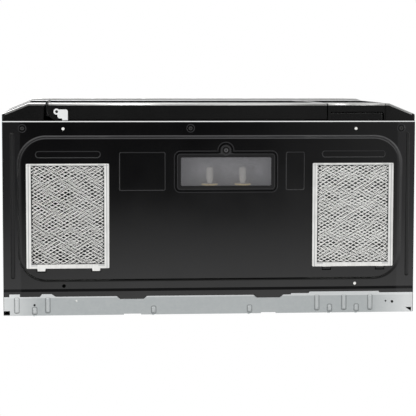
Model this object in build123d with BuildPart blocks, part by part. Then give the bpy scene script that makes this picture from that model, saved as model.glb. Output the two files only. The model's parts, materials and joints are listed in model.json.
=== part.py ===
import os
from math import cos, radians, sin

from build123d import *

os.makedirs("parts", exist_ok=True)

# Over the range microwave, for the 30 inch gap under a wall cabinet.
# Frame: +Z up, the door faces -Y, +X is to the right of someone standing in front.
# Origin: middle of the underside of the whole unit. All lengths are in millimetres.

# ---------------------------------------------------------------- overall sizes
unit_width = 759.0
unit_height = 417.0
case_depth = 355.2  # from the case front to the bend of the back panel
grille_reach = 36.1  # the vent grille stands this far in front of the case
back_pad_reach = 1.8  # pressed ribs that stand off the wall

unit_depth = grille_reach + case_depth + back_pad_reach
half_width = unit_width / 2
grille_front = -unit_depth / 2
case_front = grille_front + grille_reach
back_bend = case_front + case_depth

# ---------------------------------------------------------------- sheet gauges
base_gauge = 1.2
back_gauge = 1.0
wrap_gauge = 0.8
face_gauge = 1.2
cavity_gauge = 1.0
skin_gauge = 0.8
slope = 45.0  # side walls of every pressed form

inner_half_width = half_width - wrap_gauge
face_front = case_front - face_gauge
back_inside = back_bend - back_gauge

# ---------------------------------------------------------------- front of the unit
trim_reach = 33.0  # door, posts and control panel in front of the case
trim_front = case_front - trim_reach
grille_height = 68.4
grille_seam = 3.1
grille_bottom = unit_height - grille_height
grille_gauge = 1.2
trim_bottom = 3.5
trim_top = grille_bottom - grille_seam
trim_corner = 4.0  # rolled lower edge of the stainless skins
strip_height = 58.5  # stainless strip under the black band
upper_strip_height = 60.5
band_bottom = trim_bottom + strip_height
band_top = trim_top - upper_strip_height
end_chamfer_width = 47.5
end_chamfer_depth = 19.5

# ---------------------------------------------------------------- hinge and door
pin_inset = 99.1  # hinge pin from the side of the unit
pin_setback = 13.05  # and from the front of the door
pin_x = pin_inset - half_width
pin_y = trim_front + pin_setback
pin_radius = 3.0
pin_clearance = 0.07
pin_length = 12.0
bracket_gauge = 2.4
bracket_gap = 0.5
door_end_radius = 17.4
post_scoop_radius = 24.0
post_width = 54.8  # right post
panel_width = 106.3  # control panel
seam = 2.0
post_seam = 0.9
post_left = half_width - post_width
panel_right = post_left - post_seam
panel_left = panel_right - panel_width
door_left = pin_x - door_end_radius
door_right = panel_left - seam
door_back_gap = 2.2  # door frame to face frame
door_back = face_front - door_back_gap
door_corner = 2.5
glass_gauge = 3.0
pocket_width = 19.0  # recessed finger grip at the free edge of the door
pocket_depth = 14.0
pocket_lip = 7.5
pocket_bottom = band_bottom + 30.0
pocket_top = band_top - 27.0

# ---------------------------------------------------------------- oven cavity
cavity_left = pin_x + 24.4
cavity_right = door_right - 29.5
cavity_floor = 62.0
cavity_roof = band_top + 5.0
cavity_back = back_inside - 26.75
cavity_radius = 12.0
cavity_middle = (cavity_left + cavity_right) / 2
cavity_centre_z = (cavity_floor + cavity_roof) / 2

# ---------------------------------------------------------------- base plate
base_rear = back_bend - 34.45
joggle_y = base_rear - 14.4  # the rear strip slopes up from here
joggle_length = 5.3
joggle_lift = back_gauge
base_flange = 14.0
panel_lift = 4.0  # big pressed panel, up from the rim
pressed_left = 27.0 - half_width
pressed_right = half_width - 23.5
pressed_front = case_front + 26.65
pressed_rear = joggle_y - 12.9
pressed_radius = 52.0
panel_top = panel_lift + base_gauge
pad_depth = 1.5
dimple_lift = 2.0
bead_lift = 1.5

# ---------------------------------------------------------------- grease filters
filter_width = 151.0
filter_length = 192.0
filter_gauge = 2.4
filter_gap = 0.5
filter_y = (pressed_front + pressed_rear) / 2 + 13.0
filter_xs = {"left": pressed_left + 90.8, "right": pressed_right - 90.8}
filter_tab_offsets = (-48.5, 51.5)
filter_tab_width = 15.5
filter_tab_reach = 5.0
filter_side_hem = 9.0
filter_front_hem = 3.5
filter_rear_hem = 7.5

# ---------------------------------------------------------------- cooktop lamp
lamp_left = -61.5
lamp_right = 119.6
lamp_length = 66.4
lamp_front = pressed_front + 32.5
lamp_rear = lamp_front + lamp_length
lamp_radius = 6.0
lamp_rim = 4.6  # gap of the pressed pocket round the cover
lamp_cover_gauge = 2.2
lamp_pocket_lift = 2.5
lamp_gap = 0.3
lamp_frame_width = 7.0
lamp_screw_x = 28.6
lamp_screw_y = lamp_front - 6.2
lamp_boss_radius = 10.0
lamp_screw_radius = 2.0
bulb_xs = (0.3, 61.7)
bulb_z = 24.0
bulb_radius = 6.5
bulb_stem_radius = 4.6

# ---------------------------------------------------------------- turntable
turn_x = cavity_middle
turn_y = (case_front + cavity_back) / 2
running_gap = 0.07
body_gap = 0.3
wheel_radius = 7.5
wheel_width = 8.0
wheel_axle_radius = 1.9
ring_radius = 98.0
tray_radius = 154.0
tray_gauge = 4.0
shaft_radius = 3.5

# ---------------------------------------------------------------- vent blower
blower_y = back_inside - 75.75
blower_z = unit_height - 65.0
scroll_radius = 52.0
scroll_inner_x = 42.0
scroll_outer_x = 127.0
scroll_gauge = 1.2
outlet_front = blower_y - 30.0
wheel_rim = 42.0
blower_shaft_radius = 4.0
blade_count = 10

# ---------------------------------------------------------------- component bay
bay_left = cavity_right + cavity_gauge
shelf_height = 44.0
shelf_gauge = 1.2
shelf_top = shelf_height + shelf_gauge
fan_x = (bay_left + inner_half_width) / 2 + 5.15
fan_z = shelf_top + 66.8
fan_y = back_inside - 71.75
fan_radius = 54.0
screw_head = 4.0
screw_head_height = 1.7

made = []


def save(piece, name):
    """Label a finished piece and write it as its own file."""
    piece.label = name
    export_step(piece, f"parts/{name}.step")
    made.append(name)


def block(x_low, x_high, y_low, y_high, z_low, z_high, mode=Mode.ADD):
    """A plain box between six planes, in the active part."""
    middle = ((x_low + x_high) / 2, (y_low + y_high) / 2, (z_low + z_high) / 2)
    with Locations(middle):
        Box(x_high - x_low, y_high - y_low, z_high - z_low, mode=mode)


def rod(start, direction, radius, length, mode=Mode.ADD):
    """A round bar from a point, along a direction, in the active part."""
    with BuildSketch(Plane(origin=start, z_dir=direction)) as face:
        Circle(radius)
    extrude(face.sketch, amount=length, mode=mode)


def drum(start, direction, radius, length, sides=12, mode=Mode.ADD):
    """A round bar drawn with flats, for what stays inside the case, in the active part."""
    with BuildSketch(Plane(origin=start, z_dir=direction)) as face:
        RegularPolygon(radius, sides)
    extrude(face.sketch, amount=length, mode=mode)


def slab(x_low, x_high, y_low, y_high, radius, z_low, z_high, mode=Mode.ADD):
    """A plate with rounded plan corners, in the active part."""
    with BuildSketch(Plane.XY.offset(z_low)) as face:
        with Locations(((x_low + x_high) / 2, (y_low + y_high) / 2)):
            RectangleRounded(x_high - x_low, y_high - y_low, radius)
    extrude(face.sketch, amount=z_high - z_low, mode=mode)


def upright(x_low, x_high, z_low, z_high, radius, y_front, y_rear, mode=Mode.ADD):
    """A plate with rounded corners that stands across the unit, in the active part."""
    with BuildSketch(Plane.XZ.offset(-y_rear)) as face:
        with Locations(((x_low + x_high) / 2, (z_low + z_high) / 2)):
            RectangleRounded(x_high - x_low, z_high - z_low, radius)
    extrude(face.sketch, amount=y_rear - y_front, mode=mode)


def rounded(width, length, centre, radius):
    """Outline of a rounded rectangle that a press tool can grow."""
    def outline(growth):
        with BuildSketch(mode=Mode.PRIVATE) as face:
            with Locations(centre):
                RectangleRounded(width + 2 * growth, length + 2 * growth, radius + growth)
        return face.sketch
    return outline


def clipped(width, length, centre, corner):
    """Outline of a small form whose corners are clipped, which a press tool can grow."""
    def outline(growth):
        with BuildSketch(mode=Mode.PRIVATE) as face:
            with Locations(centre):
                Rectangle(width + 2 * growth, length + 2 * growth)
            chamfer(face.vertices(), corner + growth * 0.586)
        return face.sketch
    return outline


def spot(centre, radius):
    """Outline of a small dimple that a press tool can grow."""
    def outline(growth):
        with BuildSketch(mode=Mode.PRIVATE) as face:
            with Locations(centre):
                RegularPolygon(radius + growth, 8)
        return face.sketch
    return outline


def press(plane, outline, lift, gauge):
    """Press an outline out of a sheet: the plane lies on the side that is pushed."""
    with BuildSketch(plane) as outside:
        add(outline(gauge * 2**0.5))
    extrude(outside.sketch, amount=lift + gauge, taper=slope)
    with BuildSketch(plane) as inside:
        add(outline(0))
    extrude(inside.sketch, amount=lift, taper=slope, mode=Mode.SUBTRACT)


def screw(point, direction):
    """The head of a screw: point is the centre of its seat, direction leaves the sheet."""
    with BuildSketch(Plane(origin=point, z_dir=direction)) as face:
        RegularPolygon(screw_head, 10)
    extrude(face.sketch, amount=screw_head_height, taper=20)


# ================================================================ base plate
lamp_width = lamp_right - lamp_left
lamp_centre = ((lamp_left + lamp_right) / 2, (lamp_front + lamp_rear) / 2)
lamp_roof = panel_lift + lamp_pocket_lift
rim_hole_x = half_width - 110.2
rim_hole_radius = 3.4
rim_hole_ys = (case_front + 13.15, joggle_y - 5.3)
base_screw_y = case_front + 12.45
base_screw_points = [(36.2 - half_width, base_screw_y), (-36.8, base_screw_y),
                     (half_width - 25.4, base_screw_y)]
tongue_xs = (-145.0, 107.6)


def lamp_outline(growth):
    """The lamp cover's outline with its screw boss, grown on every side."""
    with BuildSketch(mode=Mode.PRIVATE) as outline:
        with Locations(lamp_centre):
            RectangleRounded(lamp_width + 2 * growth, lamp_length + 2 * growth, lamp_radius + growth)
        with Locations((lamp_screw_x, lamp_screw_y)):
            Circle(lamp_boss_radius + growth)
        shoulders = outline.vertices().sort_by_distance((lamp_screw_x, lamp_front - growth))[:2]
        fillet(shoulders, 5.0)
    return outline.sketch


with BuildPart() as base_plate:
    block(-inner_half_width, inner_half_width, case_front, joggle_y, 0, base_gauge)
    # the rear strip slopes up on to the bottom flange of the back panel
    with BuildSketch(Plane.YZ.offset(-inner_half_width)):
        with BuildLine():
            Polyline((joggle_y, 0), (joggle_y + joggle_length, joggle_lift), (base_rear, joggle_lift),
                     (base_rear, joggle_lift + base_gauge),
                     (joggle_y + joggle_length, joggle_lift + base_gauge), (joggle_y, base_gauge),
                     close=True)
        make_face()
    extrude(amount=2 * inner_half_width)
    for side in (-1, 1):
        edge = side * inner_half_width
        block(min(edge, edge - side * base_gauge), max(edge, edge - side * base_gauge),
              case_front, joggle_y, 0, base_flange)
    block(-inner_half_width, inner_half_width, case_front, case_front + base_gauge, 0, base_flange)
    # two tongues at the rear edge
    for middle in tongue_xs:
        with BuildSketch(Plane.XY.offset(joggle_lift)):
            with BuildLine():
                Polyline((middle - 27.0, base_rear - 1), (middle - 21.0, base_rear + 4.6),
                         (middle + 21.0, base_rear + 4.6), (middle + 27.0, base_rear - 1), close=True)
            make_face()
        extrude(amount=base_gauge)
    # the big pressed panel
    press(Plane.XY, rounded(pressed_right - pressed_left, pressed_rear - pressed_front,
                            ((pressed_left + pressed_right) / 2, (pressed_front + pressed_rear) / 2),
                            pressed_radius), panel_lift, base_gauge)
    # long beads beside it
    bead_length = joggle_y - case_front - 38.9
    bead_y = (case_front + joggle_y) / 2 + 0.55
    press(Plane.XY, clipped(7.0, bead_length, (17.8 - half_width, bead_y), 2.4), bead_lift, base_gauge)
    press(Plane.XY, clipped(6.4, bead_length, (half_width - 12.9, bead_y), 2.2), bead_lift, base_gauge)
    # dimples that sink the three front screws
    for x, y in base_screw_points:
        press(Plane.XY, spot((x, y), 7.5), dimple_lift, base_gauge)
    # pads that stand down from the panel, seen from below
    panel_over = Plane(origin=(0, 0, panel_top), x_dir=(1, 0, 0), z_dir=(0, 0, -1))
    # the plane faces down, which turns y over
    bar_y = -(pressed_front + 33.6)
    pad_y = -(pressed_front + 64.8)
    for filter_x in filter_xs.values():
        press(panel_over, clipped(118.0, 12.0, (filter_x + 0.9, bar_y), 4.0), pad_depth, base_gauge)
    press(panel_over, clipped(84.0, 70.0, (-125.2, pad_y), 2.5), pad_depth, base_gauge)
    press(panel_over, clipped(34.0, 70.0, (157.0, pad_y), 2.5), pad_depth, base_gauge)
    # pocket for the lamp cover
    press(Plane.XY.offset(panel_lift), lambda growth: lamp_outline(lamp_rim + growth),
          lamp_pocket_lift, base_gauge)
    block(lamp_left + 5, lamp_right - 5, lamp_front + 5, lamp_rear - 5,
          panel_lift, lamp_roof + 2 * base_gauge, mode=Mode.SUBTRACT)
    drum((lamp_screw_x, lamp_screw_y, 0), (0, 0, 1), lamp_screw_radius + 1.2, 2 * lamp_roof,
         mode=Mode.SUBTRACT)
    # openings for the grease filters, with notches for their rear tabs
    for filter_x in filter_xs.values():
        half = filter_width / 2 + filter_gap
        front = filter_y - filter_length / 2 - filter_gap
        rear = filter_y + filter_length / 2 + filter_gap
        block(filter_x - half, filter_x + half, front, rear, 0, 2 * panel_top, mode=Mode.SUBTRACT)
        for offset_x in filter_tab_offsets:
            reach = filter_tab_width / 2 + 1.0
            block(filter_x + offset_x - reach, filter_x + offset_x + reach, rear - 1,
                  rear + filter_tab_reach + 1.5, 0, 2 * panel_top, mode=Mode.SUBTRACT)
    # round holes in the rim
    for x in (-rim_hole_x, rim_hole_x):
        for y in rim_hole_ys:
            drum((x, y, -1), (0, 0, 1), rim_hole_radius, base_flange, mode=Mode.SUBTRACT)
save(base_plate.part, "base_plate")

# ================================================================ back panel
flange_bead_xs = (-355.4, -299.0, 198.4, 249.1, 298.1)
flange_bead_y = back_bend - 18.75
dart_xs = (-322.9, -104.9, 72.7, 222.3, 272.6)
dart_width = 8.0
dart_length = 13.0
dart_middle = 8.5  # from the bend to the middle of each leg
dart_corner = 2.6
dart_lift = 1.6
hook_slots = ((-159.8, -127.9), (93.9, 122.0))
hook_slot_height = 12.0
hook_slot_reach = 2.2
back_rib_xs = (-300.0, -100.0, 100.0, 300.0)
back_rib_width = 26.0
back_rib_bottom = 70.0
back_rib_top = unit_height - 117.0
flange_front_left = base_rear
flange_front_right = base_rear - 2.3
flange_tab_front = base_rear - 5.0
back_screw_points = [(side * (half_width - 11.5), z) for side in (-1, 1)
                     for z in (60.0, unit_height / 2 + 21.5, unit_height - 17.0)]
flange_holes = ((-323.2, flange_bead_y - 0.6, 2.2), (-246.6, flange_bead_y - 7.6, 2.0),
                (327.7, flange_bead_y - 2.0, 1.8), (340.0, flange_bead_y - 0.7, 2.6))
flange_corner = 8.8  # length of the cut-outs at both rear corners

with BuildPart() as back_panel:
    block(-half_width, half_width, back_inside, back_bend, 0, unit_height)
    block(-inner_half_width, inner_half_width, flange_front_left, back_bend, 0, back_gauge)
    block(150.0, inner_half_width, flange_front_right, back_bend, 0, back_gauge)
    # tabs that reach under the rear edge of the base plate
    with BuildSketch():
        with Locations((-359.3, flange_front_left)):
            Rectangle(19.0, 10.0)
        with BuildLine():
            Polyline((-314.0, flange_front_left + 1), (-309.5, flange_tab_front),
                     (-292.0, flange_tab_front), (-283.0, flange_front_left + 1), close=True)
        make_face()
        with BuildLine():
            Polyline((182.0, flange_front_right + 1), (185.0, flange_tab_front),
                     (314.0, flange_tab_front), (317.0, flange_front_right + 1), close=True)
        make_face()
    extrude(amount=back_gauge)
    # notches that show the tongues of the base plate
    for middle in tongue_xs:
        with BuildSketch():
            with BuildLine():
                Polyline((middle - 28.0, base_rear - 5), (middle - 28.0, base_rear),
                         (middle - 21.6, base_rear + 5.2), (middle + 21.6, base_rear + 5.2),
                         (middle + 28.0, base_rear), (middle + 28.0, base_rear - 5), close=True)
            make_face()
        extrude(amount=back_gauge, mode=Mode.SUBTRACT)
    for x in flange_bead_xs:
        press(Plane.XY, clipped(8.0, 28.0, (x, flange_bead_y), 2.6), bead_lift, back_gauge)
    # darts that stiffen the bend, one leg in the flange and one in the wall
    back_out = Plane(origin=(0, back_inside, 0), x_dir=(-1, 0, 0), z_dir=(0, 1, 0))
    for x in dart_xs:
        press(Plane.XY, clipped(dart_width, dart_length, (x, back_bend - dart_middle), dart_corner),
              bead_lift, back_gauge)
        press(back_out, clipped(dart_width, dart_length, (-x, dart_middle), dart_corner),
              dart_lift, back_gauge)
    # cut-outs of the flange at the rear corners
    block(-inner_half_width, -368.0, back_bend - flange_corner, back_inside, -1, 2 * back_gauge,
          mode=Mode.SUBTRACT)
    with BuildSketch():
        with BuildLine():
            Polyline((365.1, back_bend - flange_corner), (376.2, back_bend - flange_corner),
                     (376.2, back_inside), close=True)
        make_face()
    extrude(amount=2 * back_gauge, mode=Mode.SUBTRACT)
    # slots at the bend for the hooks of a wall plate
    for slot_left, slot_right in hook_slots:
        block(slot_left, slot_right, back_bend - hook_slot_reach, back_bend + 1,
              -1, hook_slot_height, mode=Mode.SUBTRACT)
    # ribs that touch the wall, and the inward pressed knock-out of the rear outlet
    for x in back_rib_xs:
        press(back_out, clipped(back_rib_width, back_rib_top - back_rib_bottom,
                                (x, (back_rib_top + back_rib_bottom) / 2), back_rib_width / 3),
              back_pad_reach, back_gauge)
    back_in = Plane(origin=(0, back_bend, 0), x_dir=(1, 0, 0), z_dir=(0, -1, 0))
    press(back_in, clipped(254.0, 70.0, (0, unit_height - 53.0), 4.0), 1.2, back_gauge)
    for x, y, radius in flange_holes:
        drum((x, y, -1), (0, 0, 1), radius, 4, sides=10, mode=Mode.SUBTRACT)
save(back_panel.part, "back_panel")

# ================================================================ outer wrapper
cord_hole = (half_width - 49.5, back_inside - 43.75)
cord_hole_radius = 12.0
cabinet_hole_x = 279.4
cabinet_hole_y = case_front + 50.45
cabinet_hole_radius = 3.5
outlet_rear = blower_y + scroll_radius
wrap_return = 18.0

with BuildPart() as outer_wrapper:
    block(-half_width, half_width, case_front, back_inside, 0, unit_height)
    block(-inner_half_width, inner_half_width, case_front - 1, back_inside + 1, -1,
          unit_height - wrap_gauge, mode=Mode.SUBTRACT)
    # returns that the back panel is screwed to
    for side in (-1, 1):
        edge = side * inner_half_width
        inner = edge - side * wrap_return
        block(min(edge, inner), max(edge, inner), back_inside - wrap_gauge, back_inside,
              30, unit_height - wrap_gauge)
    # outlet of the vent blower, cord hole and cabinet bolt holes
    block(-scroll_outer_x + scroll_gauge, scroll_outer_x - scroll_gauge,
          outlet_front + scroll_gauge, outlet_rear - scroll_gauge,
          unit_height - 5, unit_height + 1, mode=Mode.SUBTRACT)
    rod((*cord_hole, unit_height + 1), (0, 0, -1), cord_hole_radius, 4, mode=Mode.SUBTRACT)
    for x in (-cabinet_hole_x, cabinet_hole_x):
        rod((x, cabinet_hole_y, unit_height + 1), (0, 0, -1), cabinet_hole_radius, 4,
            mode=Mode.SUBTRACT)
save(outer_wrapper.part, "outer_wrapper")

with BuildPart() as cord_bush:
    bush_flange = cord_hole_radius + 3.0
    drum((*cord_hole, unit_height - wrap_gauge - 4.0), (0, 0, 1), cord_hole_radius,
         4.0 + wrap_gauge, sides=24)
    drum((*cord_hole, unit_height - wrap_gauge - 4.0), (0, 0, 1), bush_flange, 4.0)
    rod((*cord_hole, unit_height + 1), (0, 0, -1), 6.0, 10.0, mode=Mode.SUBTRACT)
save(cord_bush.part, "cord_bush")

# ================================================================ face frame
latch_left = door_right - 12.5
latch_gauge = 5.0
latch_right = latch_left + latch_gauge
latch_heights = (cavity_centre_z - 48.0, cavity_centre_z + 46.0)
latch_slot = (latch_left - 2.0, latch_right + 5.0)
latch_travel = 4.0
board_window = (panel_left + 8.5, panel_right - 5.8, band_bottom + 10.0, trim_top - 15.5)
air_window_edge = half_width - 19.5
air_window_bottom = grille_bottom + 7.4
air_window_top = unit_height - 9.0
air_windows = ((-air_window_edge, -190.0), (-178.0, -6.0), (6.0, 178.0), (190.0, air_window_edge))

with BuildPart() as face_frame:
    block(-half_width, half_width, face_front, case_front, 0, unit_height)
    upright(cavity_left, cavity_right, cavity_floor, cavity_roof, cavity_radius,
            face_front - 1, case_front + 1, mode=Mode.SUBTRACT)
    upright(*board_window, 6.0, face_front - 1, case_front + 1, mode=Mode.SUBTRACT)
    for window_left, window_right in air_windows:
        block(window_left, window_right, face_front - 1, case_front + 1, air_window_bottom,
              air_window_top, mode=Mode.SUBTRACT)
    for height in latch_heights:
        block(*latch_slot, face_front - 1, case_front + 1, height - 12.0,
              height + 12.0 + latch_travel, mode=Mode.SUBTRACT)
save(face_frame.part, "face_frame")


# ================================================================ fixed trim posts
def post_plan(side, inset):
    """Corners of a post in plan, drawn in from its show faces; side is -1 left, 1 right."""
    inner = pin_x - post_scoop_radius if side < 0 else post_left
    outer = side * (half_width - inset)
    front = trim_front + inset
    bevel = inset * 0.2
    corners = [(inner, face_front), (outer, face_front),
               (outer, trim_front + end_chamfer_depth + bevel),
               (side * (half_width - end_chamfer_width) - side * bevel, front)]
    if side > 0:
        return corners + [(inner, front)]
    # the left post has a hollow that lets the round end of the door swing
    rim = post_scoop_radius
    reach = (rim**2 - (pin_y - front) ** 2) ** 0.5
    return corners + [(pin_x - reach, front), (inner, pin_y)]


def post_face(side, inset):
    corners = post_plan(side, inset)
    with BuildSketch(mode=Mode.PRIVATE) as face:
        with BuildLine():
            if side > 0:
                Polyline(*corners, close=True)
            else:
                Polyline(*corners[:5])
                middle = radians(180 + 16.5)
                ThreePointArc(corners[4], (pin_x + post_scoop_radius * cos(middle),
                                           pin_y + post_scoop_radius * sin(middle)), corners[5])
                Line(corners[5], corners[0])
        make_face()
    return face.sketch


def lower_front_edges(solid, height, side):
    """The lower edges of a post's show faces, which are rolled over."""
    edges = solid.edges().filter_by(Plane.XY).group_by(Axis.Z)[0]
    limit = side * (half_width - end_chamfer_width / 2)
    return [e for e in edges if e.center().Y < face_front - 4
            and (e.center().X * side > limit * side - 60)
            and e.geom_type == GeomType.LINE
            and abs(e.tangent_at(0.5).X) > 0.05]


for side, name in ((-1, "left"), (1, "right")):
    with BuildPart() as post:
        with BuildSketch(Plane.XY.offset(trim_bottom + skin_gauge)):
            add(post_face(side, skin_gauge))
        extrude(amount=trim_top - trim_bottom - 2 * skin_gauge)
        fillet(lower_front_edges(post.part, trim_bottom, side), trim_corner - skin_gauge)
    save(post.part, f"{name}_trim_post")

skins = []
bands = []
for side in (-1, 1):
    with BuildPart() as lower_skin:
        with BuildSketch(Plane.XY.offset(trim_bottom)):
            add(post_face(side, 0))
        extrude(amount=band_bottom - trim_bottom)
        fillet(lower_front_edges(lower_skin.part, trim_bottom, side), trim_corner)
    with BuildPart() as lower_core:
        with BuildSketch(Plane.XY.offset(trim_bottom + skin_gauge)):
            add(post_face(side, skin_gauge))
        extrude(amount=band_bottom)
        fillet(lower_front_edges(lower_core.part, trim_bottom, side), trim_corner - skin_gauge)
        with BuildSketch(Plane.XY.offset(trim_bottom - 1)):
            add(post_face(side, trim_corner))
        extrude(amount=skin_gauge + 1)
        block(-half_width, half_width, face_front - 3, case_front, 0, trim_bottom + skin_gauge)
    with BuildPart() as upper_skin:
        with BuildSketch(Plane.XY.offset(band_top)):
            add(post_face(side, 0))
        extrude(amount=trim_top - band_top)
        with BuildSketch(Plane.XY.offset(band_top - 1)):
            add(post_face(side, skin_gauge))
        extrude(amount=trim_top - band_top + 1 - skin_gauge, mode=Mode.SUBTRACT)
    with BuildPart() as band:
        with BuildSketch(Plane.XY.offset(band_bottom)):
            add(post_face(side, 0))
            add(post_face(side, skin_gauge), mode=Mode.SUBTRACT)
        extrude(amount=band_top - band_bottom)
    skins += (lower_skin.part - lower_core.part).solids() + upper_skin.part.solids()
    bands += band.part.solids()
save(Compound(children=[Solid(s.wrapped) for s in skins]), "post_skins")
save(Compound(children=[Solid(s.wrapped) for s in bands]), "post_bands")

# ================================================================ vent grille
louvre_count = 5
louvre_pitch = 10.0
louvre_slot = 6.0
louvre_bottom = grille_bottom + 11.4
louvre_half_width = half_width - 61.5
louvre_bays = 6
louvre_post = 7.0


def grille_face(inset):
    """Plan of the grille: the same chamfered ends, a little prouder than the door."""
    outer = half_width - inset
    front = grille_front + inset
    shoulder = grille_front + end_chamfer_depth + inset * 0.2
    bevel = half_width - end_chamfer_width - inset * 0.2
    with BuildSketch(mode=Mode.PRIVATE) as face:
        with BuildLine():
            Polyline((-outer, face_front), (-outer, shoulder), (-bevel, front), (bevel, front),
                     (outer, shoulder), (outer, face_front), close=True)
        make_face()
    return face.sketch


with BuildPart() as vent_grille:
    with BuildSketch(Plane.XY.offset(grille_bottom)):
        add(grille_face(0))
    extrude(amount=unit_height - grille_bottom)
    with BuildSketch(Plane.XY.offset(grille_bottom + grille_gauge)):
        add(grille_face(grille_gauge))
    extrude(amount=unit_height - grille_bottom - 2 * grille_gauge, mode=Mode.SUBTRACT)
    # air slots in rows, with posts between the bays
    bay = 2 * louvre_half_width / louvre_bays
    for row in range(louvre_count):
        z = louvre_bottom + row * louvre_pitch
        for column in range(louvre_bays):
            x = -louvre_half_width + column * bay + louvre_post / 2
            block(x, x + bay - louvre_post, grille_front - 1, grille_front + grille_gauge + 1,
                  z, z + louvre_slot, mode=Mode.SUBTRACT)
        # a sloping blade behind each row hides the inside
        with BuildSketch(Plane.YZ.offset(-louvre_half_width)):
            with BuildLine():
                Polyline((grille_front + grille_gauge, z - 2.0), (grille_front + grille_gauge, z - 0.8),
                         (grille_front + 12.0, z + 6.2), (grille_front + 12.0, z + 5.0), close=True)
            make_face()
        extrude(amount=2 * louvre_half_width)
save(vent_grille.part, "vent_grille")

with BuildPart() as charcoal_filter:
    block(-186, 186, case_front, case_front + 11, grille_bottom + 3.4, unit_height - 5)
    for column in range(12):
        x = -180 + column * 30.0
        block(x + 1.5, x + 28.5, case_front - 1, case_front + 2.5, grille_bottom + 8.4,
              unit_height - 10, mode=Mode.SUBTRACT)
save(charcoal_filter.part, "charcoal_filter")

# ================================================================ hinge brackets
bracket_left = pin_x - 7.5
bracket_right = pin_x + 22.4
bracket_front = pin_y - 7.5
bracket_flange = 20.0


def hinge_bracket(z_plate, toward_door):
    """Bracket plate with its welded pin; toward_door is 1 up or -1 down."""
    z_far = z_plate + toward_door * bracket_gauge
    flange_end = z_plate + toward_door * bracket_flange
    with BuildPart() as plate:
        with BuildSketch(Plane.XY.offset(min(z_plate, z_far))):
            with BuildLine():
                Polyline((bracket_right, face_front), (bracket_right, bracket_front + 1),
                         (bracket_right - 1, bracket_front), (pin_x, bracket_front))
                ThreePointArc((pin_x, bracket_front), (bracket_left, pin_y), (pin_x, pin_y + 7.5))
                Polyline((pin_x, pin_y + 7.5), (pin_x + 3.0, pin_y + 9.5), (pin_x + 8.5, pin_y + 12.0),
                         (pin_x + 11.0, face_front), (bracket_right, face_front))
            make_face()
        extrude(amount=bracket_gauge)
        low, high = sorted((z_plate, flange_end))
        block(bracket_right - 10.0, bracket_right + 14.0, face_front - 1.4, face_front, low, high)
        rod((pin_x, pin_y, z_plate), (0, 0, toward_door), pin_radius,
            bracket_gauge + bracket_gap + pin_length)
    return plate.part


door_bottom = trim_bottom
door_top = trim_top
lower_plate = door_bottom - bracket_gap - bracket_gauge
upper_plate = door_top + bracket_gap + bracket_gauge
save(hinge_bracket(lower_plate, 1), "lower_hinge_bracket")
save(hinge_bracket(upper_plate, -1), "upper_hinge_bracket")

# ================================================================ door
window_left = cavity_left + 20.0
window_right = cavity_right - 20.0
window_bottom = band_bottom + 22.0
window_top = band_top - 17.0
panel_pan_left = cavity_left - 24.0
panel_pan_right = cavity_right + 14.0
panel_pan_bottom = cavity_floor - 20.0
panel_pan_top = cavity_roof + 20.0
screen_left = cavity_left + 4.0
screen_right = cavity_right - 4.0
screen_bottom = cavity_floor + 4.0
screen_top = cavity_roof - 4.0
web_y = door_back - 9.0
pan_gauge = 0.8
cover_gauge = 1.3
pocket_right = door_right - pocket_lip
pocket_left = pocket_right - pocket_width
door_glass_right = pocket_left - 2.0
frame_front = trim_front + skin_gauge
latch_bar_front = door_back - 14.0
latch_bar_back = latch_bar_front + 8.0
latch_bar_bottom = latch_heights[0] - 24.0
latch_bar_top = latch_heights[1] + 18.0
spring_radius = 2.0
spring_length = 14.0
latch_room = 0.35


def door_plan(front):
    """Plan of the door: a round end on the hinge side that turns inside the post."""
    back = door_back
    end_back_x = pin_x - (door_end_radius**2 - (back - pin_y) ** 2) ** 0.5
    middle = radians(180 - 35)
    with BuildSketch(mode=Mode.PRIVATE) as face:
        with BuildLine():
            Line((end_back_x, back), (door_right, back))
            Line((door_right, back), (door_right, front))
            Line((door_right, front), (door_left + door_corner, front))
            ThreePointArc((door_left + door_corner, front),
                          (door_left + door_corner * 0.29, front + door_corner * 0.29),
                          (door_left, front + door_corner))
            Line((door_left, front + door_corner), (door_left, pin_y))
            ThreePointArc((door_left, pin_y),
                          (pin_x + door_end_radius * cos(middle), pin_y + door_end_radius * sin(middle)),
                          (end_back_x, back))
        make_face()
    return face.sketch


def bevel_nose(x_low, x_high):
    """Cut back the lower front edge of the active part, inside the rolled skin."""
    nose = trim_corner - skin_gauge
    foot = door_bottom + skin_gauge
    with BuildSketch(Plane.YZ.offset(x_low)) as face:
        with BuildLine():
            Polyline((frame_front - 1, foot - 1), (frame_front + nose, foot - 1),
                     (frame_front + nose, foot), (frame_front, foot + nose),
                     (frame_front - 1, foot + nose), close=True)
        make_face()
    extrude(face.sketch, amount=x_high - x_low, mode=Mode.SUBTRACT)


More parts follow.
